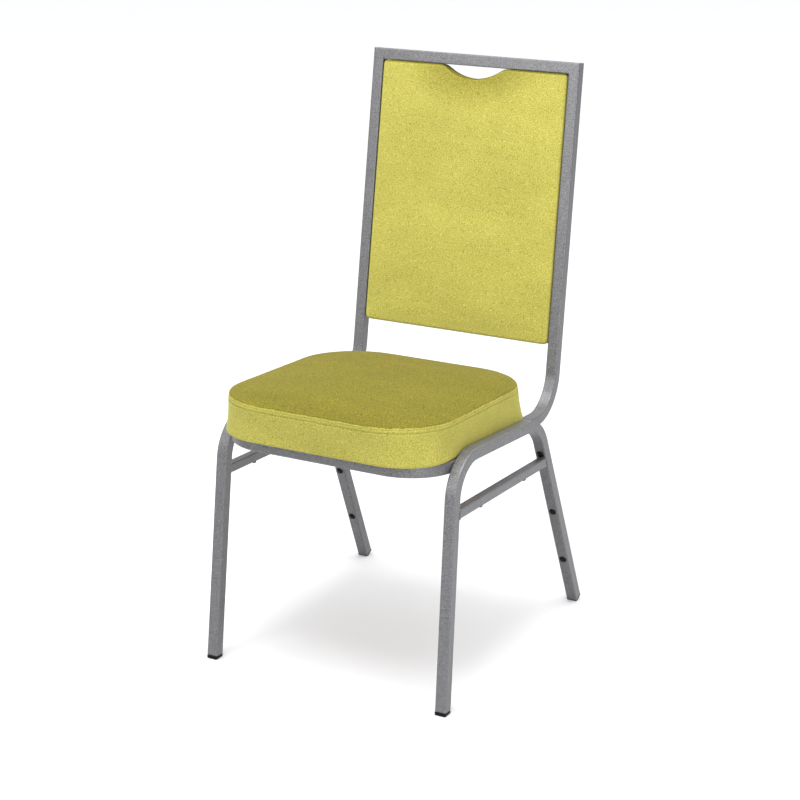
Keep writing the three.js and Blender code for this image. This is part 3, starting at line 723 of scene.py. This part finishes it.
def foot_cap(name, end, down, flange, matrix, node):
    """The visible flange of a moulded foot, a little wider than the tube and flat where it rests."""
    section = rounded_square(TUBE + FOOT_OVERSIZE, TUBE_CORNER)
    stations = route([end, end + down * flange], [], lambda p, a: X)
    bm = trim(sweep(section, stations, matrix), Vector((0, 0, 0)), -UP)
    made = piece(name, bm, plastic_material, [node])
    edge = made.modifiers.new("moulded_edge", "BEVEL")
    edge.width = min(FOOT_EDGE_R, flange / 3)
    edge.segments = 3
    edge.limit_method = "ANGLE"


def domed_button(name, radius, height, matrix, node):
    """A pressed-in button with a domed head on a thin rim."""
    rise = height * DOME_START
    rim = radius + BUTTON_RIM
    profile = [(0, 0), (rim - 0.2 * MM, 0), (rim, 0.2 * MM), (rim, 0.5 * MM), (radius + 0.1 * MM, 0.8 * MM)]
    steps = 7
    for k in range(steps):
        a = math.pi / 2 * k / steps
        profile.append((radius * math.cos(a), rise + (height - rise) * math.sin(a)))
    profile.append((0, height))
    piece(name, turned(profile, matrix), plastic_material, [node])


def buffer_matrices():
    top = stretcher_rear - stretcher_under * (STRETCHER / 2) - rear_foot
    run = (TUBE / 2 - top.dot(rear_leg_front)) / along_stretcher.dot(rear_leg_front)
    stretcher_top = -(top + along_stretcher * run).dot(rear_leg_down)
    distances = [*BUFFERS_FROM_FOOT, stretcher_top + BUFFER_OVER_STRETCHER + BUFFER_R]
    return [
        facing(rear_foot - rear_leg_down * d + rear_leg_front * (TUBE / 2), rear_leg_front) for d in distances
    ]


def stud_matrices():
    places = [
        stretcher_front + along_stretcher * STUD_INSET_FRONT,
        stretcher_rear - along_stretcher * STUD_INSET_REAR,
    ]
    return [facing(p + stretcher_under * (STRETCHER / 2), stretcher_under) for p in places]


for label, side in (("right", 1), ("left", -1)):
    lean, shifted = side_matrices(side)
    leg_frame_tube(label, lean)
    stretcher_tube(label, shifted)
    front_flange = FRONT_FOOT_HEIGHT + TUBE / 2
    foot_cap("front_cap_" + label, front_foot, front_leg_down, front_flange, lean, "foot_front_" + label)
    foot_cap("rear_cap_" + label, rear_foot, rear_leg_down, REAR_FOOT_FLANGE, lean, "foot_rear_" + label)
    for i, place in enumerate(buffer_matrices(), 1):
        node = "leg_buffer_%s_%d" % (label, i)
        domed_button("buffer_%s_%d" % (label, i), BUFFER_R, BUFFER_HEIGHT, lean @ place, node)
    for i, place in enumerate(stud_matrices(), 1):
        node = "stretcher_buffer_%s_%d" % (label, i)
        domed_button("stud_%s_%d" % (label, i), STUD_R, STUD_HEIGHT, shifted @ place, node)


# ---- Welds ----
def weld_bead(name, path, matrix, closed=False):
    """A rippled fillet bead laid along a line of points, coated over with the tubes."""
    points = path + path[:1] if closed else path
    run = []
    for start, end in zip(points, points[1:]):
        steps = max(1, round((end - start).length / WELD_STEP))
        run += [start.lerp(end, k / steps) for k in range(steps)]
    if not closed:
        run.append(points[-1])
    bm = bmesh.new()
    rings = []
    travelled = 0
    for i, point in enumerate(run):
        after = run[(i + 1) % len(run)] if closed or i + 1 < len(run) else point
        before = run[i - 1] if closed or i > 0 else point
        along = (after - before).normalized()
        travelled += (point - before).length
        across = along.orthogonal().normalized()
        if rings:
            across = (last_across - along * last_across.dot(along)).normalized()
        last_across = across
        third = along.cross(across)
        radius = WELD_R * (0.9 + 0.16 * math.cos(2 * math.pi * travelled / WELD_RIPPLE))
        rings.append(circle(bm, point, across, third, radius, WELD_SIDES))
    if closed:
        twist = min(range(WELD_SIDES), key=lambda k: (rings[0][k].co - rings[-1][0].co).length)
        rings.append(rings[0][twist:] + rings[0][:twist])
    else:
        bm.faces.new(rings[0])
        bm.faces.new(rings[-1])
    rings_to_faces(bm, rings)
    bm.transform(matrix)
    piece(name, bm, coat_material)


def stretcher_foot_line(leg_point, normal):
    """Where the stretcher's outline meets a leg's face."""
    across = stretcher_under.cross(along_stretcher)
    line = []
    for p in stretcher_section:
        point = stretcher_front + across * p.x + stretcher_under * p.y
        line.append(point + along_stretcher * ((leg_point - point).dot(normal) / along_stretcher.dot(normal)))
    return line


for label, side in (("right", 1), ("left", -1)):
    lean, shifted = side_matrices(side)
    front_line = stretcher_foot_line(front_foot + front_leg_rear * (TUBE / 2), front_leg_rear)
    rear_line = stretcher_foot_line(rear_foot + rear_leg_front * (TUBE / 2), rear_leg_front)
    weld_bead("weld_stretcher_front_" + label, front_line, shifted, closed=True)
    weld_bead("weld_stretcher_rear_" + label, rear_line, shifted, closed=True)
    under_rail = Vector((-side * (TUBE / 2), 0, -TUBE / 2 - WELD_R * 0.4))
    for i, (start, end) in enumerate(RAIL_WELDS, 1):
        ends = [rail_front.lerp(rail_rear, share) + under_rail for share in (start, end)]
        weld_bead("weld_rail_%s_%d" % (label, i), ends, lean)
    for face, offset in (("front", -TUBE / 2), ("rear", TUBE / 2)):
        reach = side * (seat_tube_x - TUBE / 2)
        place = on_seat(reach, CROSS_TUBE_STATION + offset)
        rise = seat_up * (TUBE / 2 - TUBE_CORNER)
        weld_bead("weld_cross_%s_%s" % (face, label), [place - rise, place + rise], Matrix.Identity(4))


# ---- Soft pieces ----
def coons(border, count_u, count_v):
    """A grid of points inside a closed border that starts at a corner of the grid, by blending its sides."""
    u_sides = border[: count_u + 1], border[count_u + count_v : 2 * count_u + count_v + 1][::-1]
    v_sides = (border + border[:1])[-count_v - 1 :][::-1], border[count_u : count_u + count_v + 1]
    grid = []
    for j in range(count_v + 1):
        v = j / count_v
        row = []
        for i in range(count_u + 1):
            u = i / count_u
            point = u_sides[0][i] * (1 - v) + u_sides[1][i] * v
            point += v_sides[0][j] * (1 - u) + v_sides[1][j] * u
            corners = u_sides[0][0] * (1 - u) + u_sides[0][-1] * u
            corners_far = u_sides[1][0] * (1 - u) + u_sides[1][-1] * u
            row.append(point - corners * (1 - v) - corners_far * v)
        grid.append(row)
    return grid


def fill_patch(bm, ring, outline, counts, height_at, matrix):
    """Closes a ring of vertices by a grid whose heights come from a function."""
    count_u, count_v = counts
    grid = coons(outline, count_u, count_v)
    verts = {}
    total = len(ring)
    for i in range(count_u + 1):
        verts[i, 0] = ring[i]
        verts[i, count_v] = ring[(2 * count_u + count_v - i) % total]
    for j in range(count_v + 1):
        verts[count_u, j] = ring[count_u + j]
        verts[0, j] = ring[(total - j) % total]
    for j in range(1, count_v):
        for i in range(1, count_u):
            p = grid[j][i]
            verts[i, j] = bm.verts.new(matrix @ Vector((p.x, p.y, height_at(p))))
    for j in range(count_v):
        for i in range(count_u):
            bm.faces.new((verts[i, j], verts[i + 1, j], verts[i + 1, j + 1], verts[i, j + 1]))


def soft_body(outline_at, profile, counts, matrix, top_at=None):
    """A closed cushion form through rings, each given as (inset, height). It is level inside the first,
    and inside the last too, unless top_at gives the height there."""
    bm = bmesh.new()
    rings = []
    for inset, height in profile:
        outline = outline_at(inset, height)
        rings.append([bm.verts.new(matrix @ Vector((p.x, p.y, height))) for p in outline])
    rings_to_faces(bm, rings)
    first, last = outline_at(*profile[0]), outline_at(*profile[-1])
    fill_patch(bm, rings[0], first, counts, lambda p: profile[0][1], matrix)
    fill_patch(bm, rings[-1], last, counts, top_at or (lambda p: profile[-1][1]), matrix)
    bmesh.ops.recalc_face_normals(bm, faces=bm.faces)
    return bm, rings


def soft_piece(name, bm, replaces):
    """A velvet piece, smooth all over and subdivided once."""
    made = piece(name, bm, velvet_material, replaces, sharp=math.radians(180))
    fine = made.modifiers.new("fine", "SUBSURF")
    fine.levels = fine.render_levels = 1
    return made


def blow_up(bm, plain, matrix, held, voxel, cap):
    """Blows a plain closed form up as tight cloth by simulation, and moves the piece's vertices by what
    the cloth moved. held says whether a point of the matrix's frame is sewn or stapled down."""
    scene = bpy.context.scene
    mesh = bpy.data.meshes.new("swelling")
    plain.to_mesh(mesh)
    plain.free()
    blank = bpy.data.objects.new("swelling", mesh)
    scene.collection.objects.link(blank)
    remesh = blank.modifiers.new("even", "REMESH")
    remesh.mode = "VOXEL"
    remesh.voxel_size = voxel
    even = bpy.data.meshes.new_from_object(blank.evaluated_get(bpy.context.evaluated_depsgraph_get()))
    blank.modifiers.clear()
    blank.data = even
    rest = np.array([v.co for v in even.vertices])
    back = matrix.inverted()
    group = blank.vertex_groups.new(name="held")
    for v in even.vertices:
        if held(back @ v.co):
            group.add([v.index], 1.0, "REPLACE")
    cloth = blank.modifiers.new("cloth", "CLOTH")
    cloth.settings.use_pressure = True
    cloth.settings.uniform_pressure_force = CLOTH_PRESSURE
    cloth.settings.vertex_group_mass = "held"
    cloth.settings.effector_weights.gravity = 0
    cloth.settings.quality = 5
    cloth.collision_settings.use_collision = False
    cloth.point_cache.frame_start = 1
    cloth.point_cache.frame_end = SWELL_FRAMES
    for number in range(1, SWELL_FRAMES + 1):
        scene.frame_set(number)
    result = blank.evaluated_get(bpy.context.evaluated_depsgraph_get())
    moved = np.array([v.co for v in result.data.vertices]) - rest
    length = np.linalg.norm(moved, axis=1, keepdims=True)
    moved *= cap * np.tanh(length / cap) / np.maximum(length, 1e-9)
    scene.frame_set(1)
    bpy.data.objects.remove(blank)
    tree = KDTree(len(rest))
    for i, co in enumerate(rest):
        tree.insert(co, i)
    tree.balance()
    for v in bm.verts:
        near = tree.find_n(v.co, NEIGHBOURS)
        weights = np.array([1 / (distance + 0.5 * voxel) for _, _, distance in near])
        shift = (moved[[i for _, i, _ in near]] * weights[:, None]).sum(0) / weights.sum()
        v.co += Vector(shift)


def stitches(name, path, outs):
    """Separate stitches along a closed line of points, each a short arch of thread whose ends dip into
    the cloth."""
    steps = [(path[(i + 1) % len(path)] - p).length for i, p in enumerate(path)]
    total = sum(steps)
    starts = [sum(steps[:i]) for i in range(len(steps))]

    def at(distance):
        distance %= total
        i = max(k for k, start in enumerate(starts) if start <= distance)
        share = (distance - starts[i]) / steps[i]
        j = (i + 1) % len(path)
        return path[i].lerp(path[j], share), outs[i].lerp(outs[j], share).normalized()

    bm = bmesh.new()
    count = round(total / STITCH_PITCH)
    for number in range(count):
        middle_of_stitch = total * number / count
        rings = []
        for k in range(-2, 3):
            point, out = at(middle_of_stitch + STITCH_LENGTH * k / 4)
            ahead, _ = at(middle_of_stitch + STITCH_LENGTH * k / 4 + THREAD_R)
            along = (ahead - point).normalized()
            across = along.cross(out).normalized()
            centre = point + out * THREAD_R * (0.7 - 0.3 * k * k)
            radius = THREAD_R * (1 if abs(k) < 2 else 0.6)
            rings.append(circle(bm, centre, across, out, radius, THREAD_SIDES))
        rings_to_faces(bm, rings)
        bm.faces.new(rings[0])
        bm.faces.new(rings[-1])
    piece(name, bm, thread_material)


# ---- Seat cushion ----
seat_board_bottom = HEM_BOTTOM + HEM_THICKNESS + CLEARANCE
seat_board_top = seat_board_bottom + SEAT_BOARD
seam_height = CUSHION_EDGE_HEIGHT - CUSHION_EDGE_R - SEAM_BELOW_EDGE


def cushion_shape(inset, height):
    """Half width, front, rear and corner radius of the cushion's outline."""
    share = min(1, max(0, (height - HEM_BOTTOM) / (CUSHION_EDGE_HEIGHT - HEM_BOTTOM)))
    overhang, rear_gap, corner = [a + (b - a) * share for a, b in zip(CUSHION_BOTTOM, CUSHION_TOP)]
    half = frame_half_width - CUSHION_SIDE_INSET - inset
    return half, inset - overhang, SEAT_LENGTH - rear_gap - inset, corner - inset


def pucker(distance):
    """How far the sewn edge draws in, this far along the seam."""
    return sum(depth * math.sin(2 * math.pi * distance / length + phase) for length, depth, phase in PUCKERS)


def cushion_outline(inset, height):
    """Points round the cushion, from the middle of one corner, with equally many at every inset."""
    half, front, rear, corner = cushion_shape(inset, height)
    centres = [
        Vector((half - corner, front + corner)),
        Vector((half - corner, rear - corner)),
        Vector((corner - half, rear - corner)),
        Vector((corner - half, front + corner)),
    ]
    points = []
    for quarter, centre in enumerate(centres):
        start = (quarter - 1) * math.pi / 2
        for k in range(CUSHION_CORNER + 1):
            a = start + math.pi / 2 * k / CUSHION_CORNER
            points.append(centre + Vector((math.cos(a), math.sin(a))) * corner)
        following = centres[(quarter + 1) % 4]
        end = following + Vector((math.cos(start + math.pi / 2), math.sin(start + math.pi / 2))) * corner
        last = points[-1]
        points += [last.lerp(end, k / CUSHION_STRAIGHT) for k in range(1, CUSHION_STRAIGHT)]
    shift = CUSHION_CORNER // 2
    points = points[shift:] + points[:shift]
    share = max(0, 1 - abs(height - seam_height) / PUCKER_REACH)
    if share and inset < PUCKER_REACH:
        travelled = 0
        puckered = []
        for i, p in enumerate(points):
            travelled += (p - points[i - 1]).length if i else 0
            along = (points[(i + 1) % len(points)] - points[i - 1]).normalized()
            inward = Vector((-along.y, along.x))
            puckered.append(p + inward * pucker(travelled) * share * (1 - inset / PUCKER_REACH))
        points = puckered
    return points


def edge_distance(point, shape):
    """How far a point is inside a rounded rectangle."""
    half, front, rear, corner = shape
    x = abs(point.x) - (half - corner)
    y = abs(point.y - (front + rear) / 2) - ((rear - front) / 2 - corner)
    outside = math.hypot(max(x, 0), max(y, 0)) + min(max(x, y), 0)
    return corner - outside


def crown_height(inset):
    share = min(1, max(0, (inset - CUSHION_EDGE_R) / CUSHION_TOP[2]))
    return CUSHION_EDGE_HEIGHT + (CUSHION_CROWN - CUSHION_SWELL) * (1 - (1 - share) ** 2)


def side_inset(height):
    """How much smaller the side starts between the hem and the stitching, so that it can swell."""
    share = (height - HEM_BOTTOM) / (TOPSTITCH_HEIGHT - HEM_BOTTOM)
    return CUSHION_SWELL * math.sin(math.pi * share) if 0 < share < 1 else 0


def cushion_profile():
    """(inset, height) from the recess for the board, round the hem and up over the top edge."""
    recess = 1.4 * MM
    hem_top = HEM_BOTTOM + HEM_THICKNESS
    rings = [
        (recess, seat_board_top + CLEARANCE),
        (recess, (seat_board_top + hem_top) / 2),
        (recess, hem_top + 0.1 * MM),
        (HEM_WIDTH, hem_top),
        (HEM_WIDTH + 0.3 * MM, (hem_top + HEM_BOTTOM) / 2),
        (HEM_WIDTH, HEM_BOTTOM + 0.1 * MM),
        (HEM_WIDTH / 2, HEM_BOTTOM),
        (4 * MM, HEM_BOTTOM),
        (2 * MM, HEM_BOTTOM + 0.7 * MM),
        (0.6 * MM, HEM_BOTTOM + 2 * MM),
        (0, HEM_BOTTOM + 4 * MM),
    ]
    rings += [(side_inset(z * MM), z * MM) for z in (18, 24, 31, 39, 47, 54, 59)]
    for above, share in ((-2.6, 0), (-1.1, 0.6), (0, 1), (1.1, 0.6), (2.2, 0)):
        rings.append((TOPSTITCH_DEPTH * share, TOPSTITCH_HEIGHT + above * MM))
    for above, share in ((-1.6, 0), (-0.5, 0.7), (0, 1), (0.4, 0.6)):
        rings.append((SEAM_DEPTH * share, seam_height + above * MM))
    edge = CUSHION_EDGE_HEIGHT - CUSHION_EDGE_R
    steps = 5
    for k in range(steps + 1):
        a = math.pi / 2 * k / steps
        inset = CUSHION_EDGE_R * (1 - math.cos(a))
        rings.append((inset, edge + CUSHION_EDGE_R * math.sin(a)))
    rings += [(d * MM, crown_height(d * MM)) for d in (5.5, 8, 11, 15, 20, 26, 33)]
    return rings


def seat_held(point):
    """Stapled under the board, and kept in shape by the seam round the top edge."""
    if point.z < HEM_BOTTOM + 4 * MM:
        return True
    to_seam = abs(point.z - (TOPSTITCH_HEIGHT + CUSHION_EDGE_HEIGHT) / 2)
    inside = edge_distance(point, cushion_shape(0, point.z))
    return max(to_seam, inside) < SEAT_SEWN_REACH


def seat_cover():
    counts = (CUSHION_STRAIGHT + CUSHION_CORNER,) * 2
    profile = cushion_profile()
    heights = [height for _, height in profile]
    last_inset = profile[-1][0]
    last_shape = cushion_shape(*profile[-1])

    def top(point):
        return crown_height(last_inset + max(0, edge_distance(point, last_shape)))

    bm, rings = soft_body(cushion_outline, profile, counts, seat_frame, top)
    from_hem = profile[heights.index(HEM_BOTTOM) :]
    plain, _ = soft_body(cushion_outline, from_hem, counts, seat_frame, top)
    blow_up(bm, plain, seat_frame, seat_held, SEAT_VOXEL, SEAT_SWELL_CAP)
    path = [v.co.copy() for v in rings[heights.index(TOPSTITCH_HEIGHT)]]
    neighbours = zip(path[-1:] + path[:-1], path[1:] + path[:1])
    outs = [(after - before).cross(seat_up).normalized() for before, after in neighbours]
    stitches("seat_topstitch", path, outs)
    made = soft_piece("seat_cover", bm, ["seat_cover_band", "seat_cover_top", "seat_foam"])


seat_cover()

# ---- Back pad ----
pad_top = back_length - TUBE - CLEARANCE
handhold_r = ((HANDHOLD_WIDTH / 2) ** 2 + HANDHOLD_DEPTH**2) / (2 * HANDHOLD_DEPTH)
handhold_centre = pad_top - HANDHOLD_DEPTH + handhold_r


def pad_half_width(height):
    return upright_x(height) - TUBE / 2 - PAD_SIDE_GAP


def pad_top_at(x, inset):
    """The pad's top edge: level, with the hand-hold scooped out of it and eased into it."""
    level = pad_top - inset
    radius = handhold_r + inset
    if abs(x) >= radius:
        return level
    scoop = handhold_centre - math.sqrt(radius**2 - x**2)
    gap = scoop - level
    if abs(gap) > HANDHOLD_FILLET:
        return min(scoop, level)
    ease = (HANDHOLD_FILLET - abs(gap)) ** 2 / (4 * HANDHOLD_FILLET)
    return min(scoop, level) - ease


def pad_outline(inset, _height):
    """Points round the pad, from the middle of its lower left corner, anticlockwise from the front."""
    low = PAD_BOTTOM + inset
    r = max(PAD_CORNER_R - inset, MM)
    low_x = pad_half_width(low) - inset
    high_x = pad_half_width(pad_top - inset) - inset
    half_arc = PAD_ARC // 2

    def arc(centre, start):
        return [
            centre + Vector((math.cos(a), math.sin(a))) * r
            for a in (start + math.pi / 2 * k / PAD_ARC for k in range(PAD_ARC + 1))
        ]

    right = arc(Vector((low_x - r, low + r)), -math.pi / 2)
    left = arc(Vector((r - low_x, low + r)), math.pi)
    top_right = Vector((high_x, pad_top_at(high_x, inset)))
    top_left = Vector((-high_x, top_right.y))
    straight = PAD_ACROSS - PAD_ARC
    rise = PAD_ALONG - half_arc
    points = left[half_arc:]
    points += [left[-1].lerp(right[0], k / straight) for k in range(1, straight)]
    points += right
    points += [right[-1].lerp(top_right, k / rise) for k in range(1, rise)]
    points.append(top_right - Vector((PAD_TOP_EASE, PAD_TOP_EASE)))
    for k in range(1, PAD_ACROSS):
        x = high_x - 2 * high_x * k / PAD_ACROSS
        points.append(Vector((x, pad_top_at(x, inset))))
    points.append(top_left - Vector((-PAD_TOP_EASE, PAD_TOP_EASE)))
    points += [top_left.lerp(left[0], k / rise) for k in range(1, rise + 1)]
    points += left[1:half_arc]
    return points


def pad_profile(rear, front, recess_inset, recess_height):
    """(inset, height) from a recess behind, round the side and over the edge."""
    rings = [(recess_inset, recess_height), (recess_inset, rear)]
    rings += [(0.4 * MM, rear), (0, rear + 0.6 * MM)]
    edge = front - PAD_EDGE_R
    rings.append((0, (rear + 0.6 * MM + edge) / 2))
    steps = 5
    for k in range(steps + 1):
        a = math.pi / 2 * k / steps
        rings.append((PAD_EDGE_R * (1 - math.cos(a)), edge + PAD_EDGE_R * math.sin(a)))
    rings += [(PAD_EDGE_R + d * MM, front + 0.15 * MM) for d in (2, 5, 9)]
    return rings


def pad_held(point):
    """Pulled tight over the board's edges, and free in front of it."""
    inside = min(
        pad_half_width(point.y) - abs(point.x), point.y - PAD_BOTTOM, pad_top_at(point.x, 0) - point.y
    )
    return inside < PAD_SEWN_REACH or point.z < 2 * MM


def back_pad():
    front = PAD_FRONT - PAD_SWELL
    profile = pad_profile(-BACK_BOARD / 2, front, 1.5 * MM, BACK_BOARD / 2 + CLEARANCE)
    counts = (PAD_ACROSS, PAD_ALONG)
    bm, _ = soft_body(pad_outline, profile, counts, back_frame)
    plain, _ = soft_body(pad_outline, profile[1:], counts, back_frame)
    blow_up(bm, plain, back_frame, pad_held, PAD_VOXEL, PAD_SWELL_CAP)
    made = soft_piece("back_pad_cover", bm, ["back_cover", "back_foam"])


def outer_back():
    front = BACK_BOARD / 2 + CLEARANCE
    matrix = back_frame @ Matrix.Scale(-1, 4, UP)
    profile = pad_profile(front, -PAD_REAR, 2.5 * MM, -PAD_REAR - REAR_PANEL)
    bm, _ = soft_body(pad_outline, profile, (PAD_ACROSS, PAD_ALONG), matrix)
    made = soft_piece("outer_back_cover", bm, ["back_rear_panel"])


back_pad()
outer_back()

# ---- CAD nodes that keep their shape ----
for name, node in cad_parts.items():
    material = coat_material
    if "screw" in name:
        material = zinc_material
    elif "board" in name:
        material = plywood_material
    elif "foam" in name or "cover" in name or "panel" in name:
        material = velvet_material
    node.data.materials.clear()
    node.data.materials.append(material)


# ---- Floor, light and camera ----
def floor():
    """A pale floor that curves up into a backdrop far behind the chair."""
    bm = bmesh.new()
    bend = FLOOR_BEND_R
    profile = [(-FLOOR_REACH, 0.0), (FLOOR_DEPTH, 0.0)]
    angles = [math.radians(10 * k) for k in range(1, 10)]
    profile += [(FLOOR_DEPTH + bend * math.sin(a), bend - bend * math.cos(a)) for a in angles]
    profile.append((FLOOR_DEPTH + bend, FLOOR_REACH))
    turn = Matrix.Rotation(CAMERA_AZIMUTH, 4, "Z")
    rows = [
        [bm.verts.new(turn @ Vector((x, y, z))) for x in (-FLOOR_REACH, FLOOR_REACH)] for y, z in profile
    ]
    rings_to_faces(bm, rows, closed=False)
    material, _, _ = surface("white_floor", Roughness=0.9, Base_Color=srgb("#c2c3c5"))
    made = mesh_object("floor", bm, material)


def look_from(data, aim, azimuth, elevation, distance):
    """Aims a light or a camera at a point, from an azimuth that is counted from the chair's front."""
    level = Vector((math.sin(azimuth), -math.cos(azimuth), 0))
    back = level * math.cos(elevation) + UP * math.sin(elevation)
    made = bpy.data.objects.new(data.name, data)
    made.location = aim + back * distance
    made.rotation_euler = (-back).to_track_quat("-Z", "Y").to_euler()
    bpy.context.scene.collection.objects.link(made)
    return made


def softbox(name, azimuth, elevation, distance, size, power, aim_height=0.45, spread=180):
    """A square area light aimed at a point over the chair's middle."""
    light = bpy.data.lights.new(name, "AREA")
    light.shape = "SQUARE"
    light.size = size
    light.energy = power
    light.spread = math.radians(spread)
    look_from(light, UP * aim_height, math.radians(azimuth), math.radians(elevation), distance)


def camera():
    data = bpy.data.cameras.new("camera")
    data.sensor_width = CAMERA_SENSOR
    data.lens = CAMERA_LENS
    made = look_from(data, CAMERA_TARGET, CAMERA_AZIMUTH, CAMERA_ELEVATION, CAMERA_DISTANCE)
    bpy.context.scene.camera = made


floor()
world = bpy.data.worlds.new("studio")
world.use_nodes = True
background = world.node_tree.nodes["Background"]
background.inputs["Color"].default_value = (1, 1, 1, 1)
direction = add(world, "ShaderNodeTexCoord").outputs["Generated"]
height = add(world, "ShaderNodeSeparateXYZ", {"Vector": direction}).outputs["Z"]
sky = add(
    world, "ShaderNodeMapRange",
    {"Value": height, "To Min": HORIZON_STRENGTH, "To Max": ZENITH_STRENGTH},
)
feed(background, Strength=sky.outputs["Result"])
bpy.context.scene.world = world
softbox("overhead", azimuth=5, elevation=74, distance=2.6, size=1.4, power=78)
softbox("key", azimuth=50, elevation=6, distance=2.0, size=1.0, power=16)
softbox(
    "back_fill", azimuth=-18, elevation=16, distance=1.9, size=0.7, power=1.4, aim_height=0.8, spread=60
)
bpy.context.scene.view_settings.view_transform = "Standard"
camera()
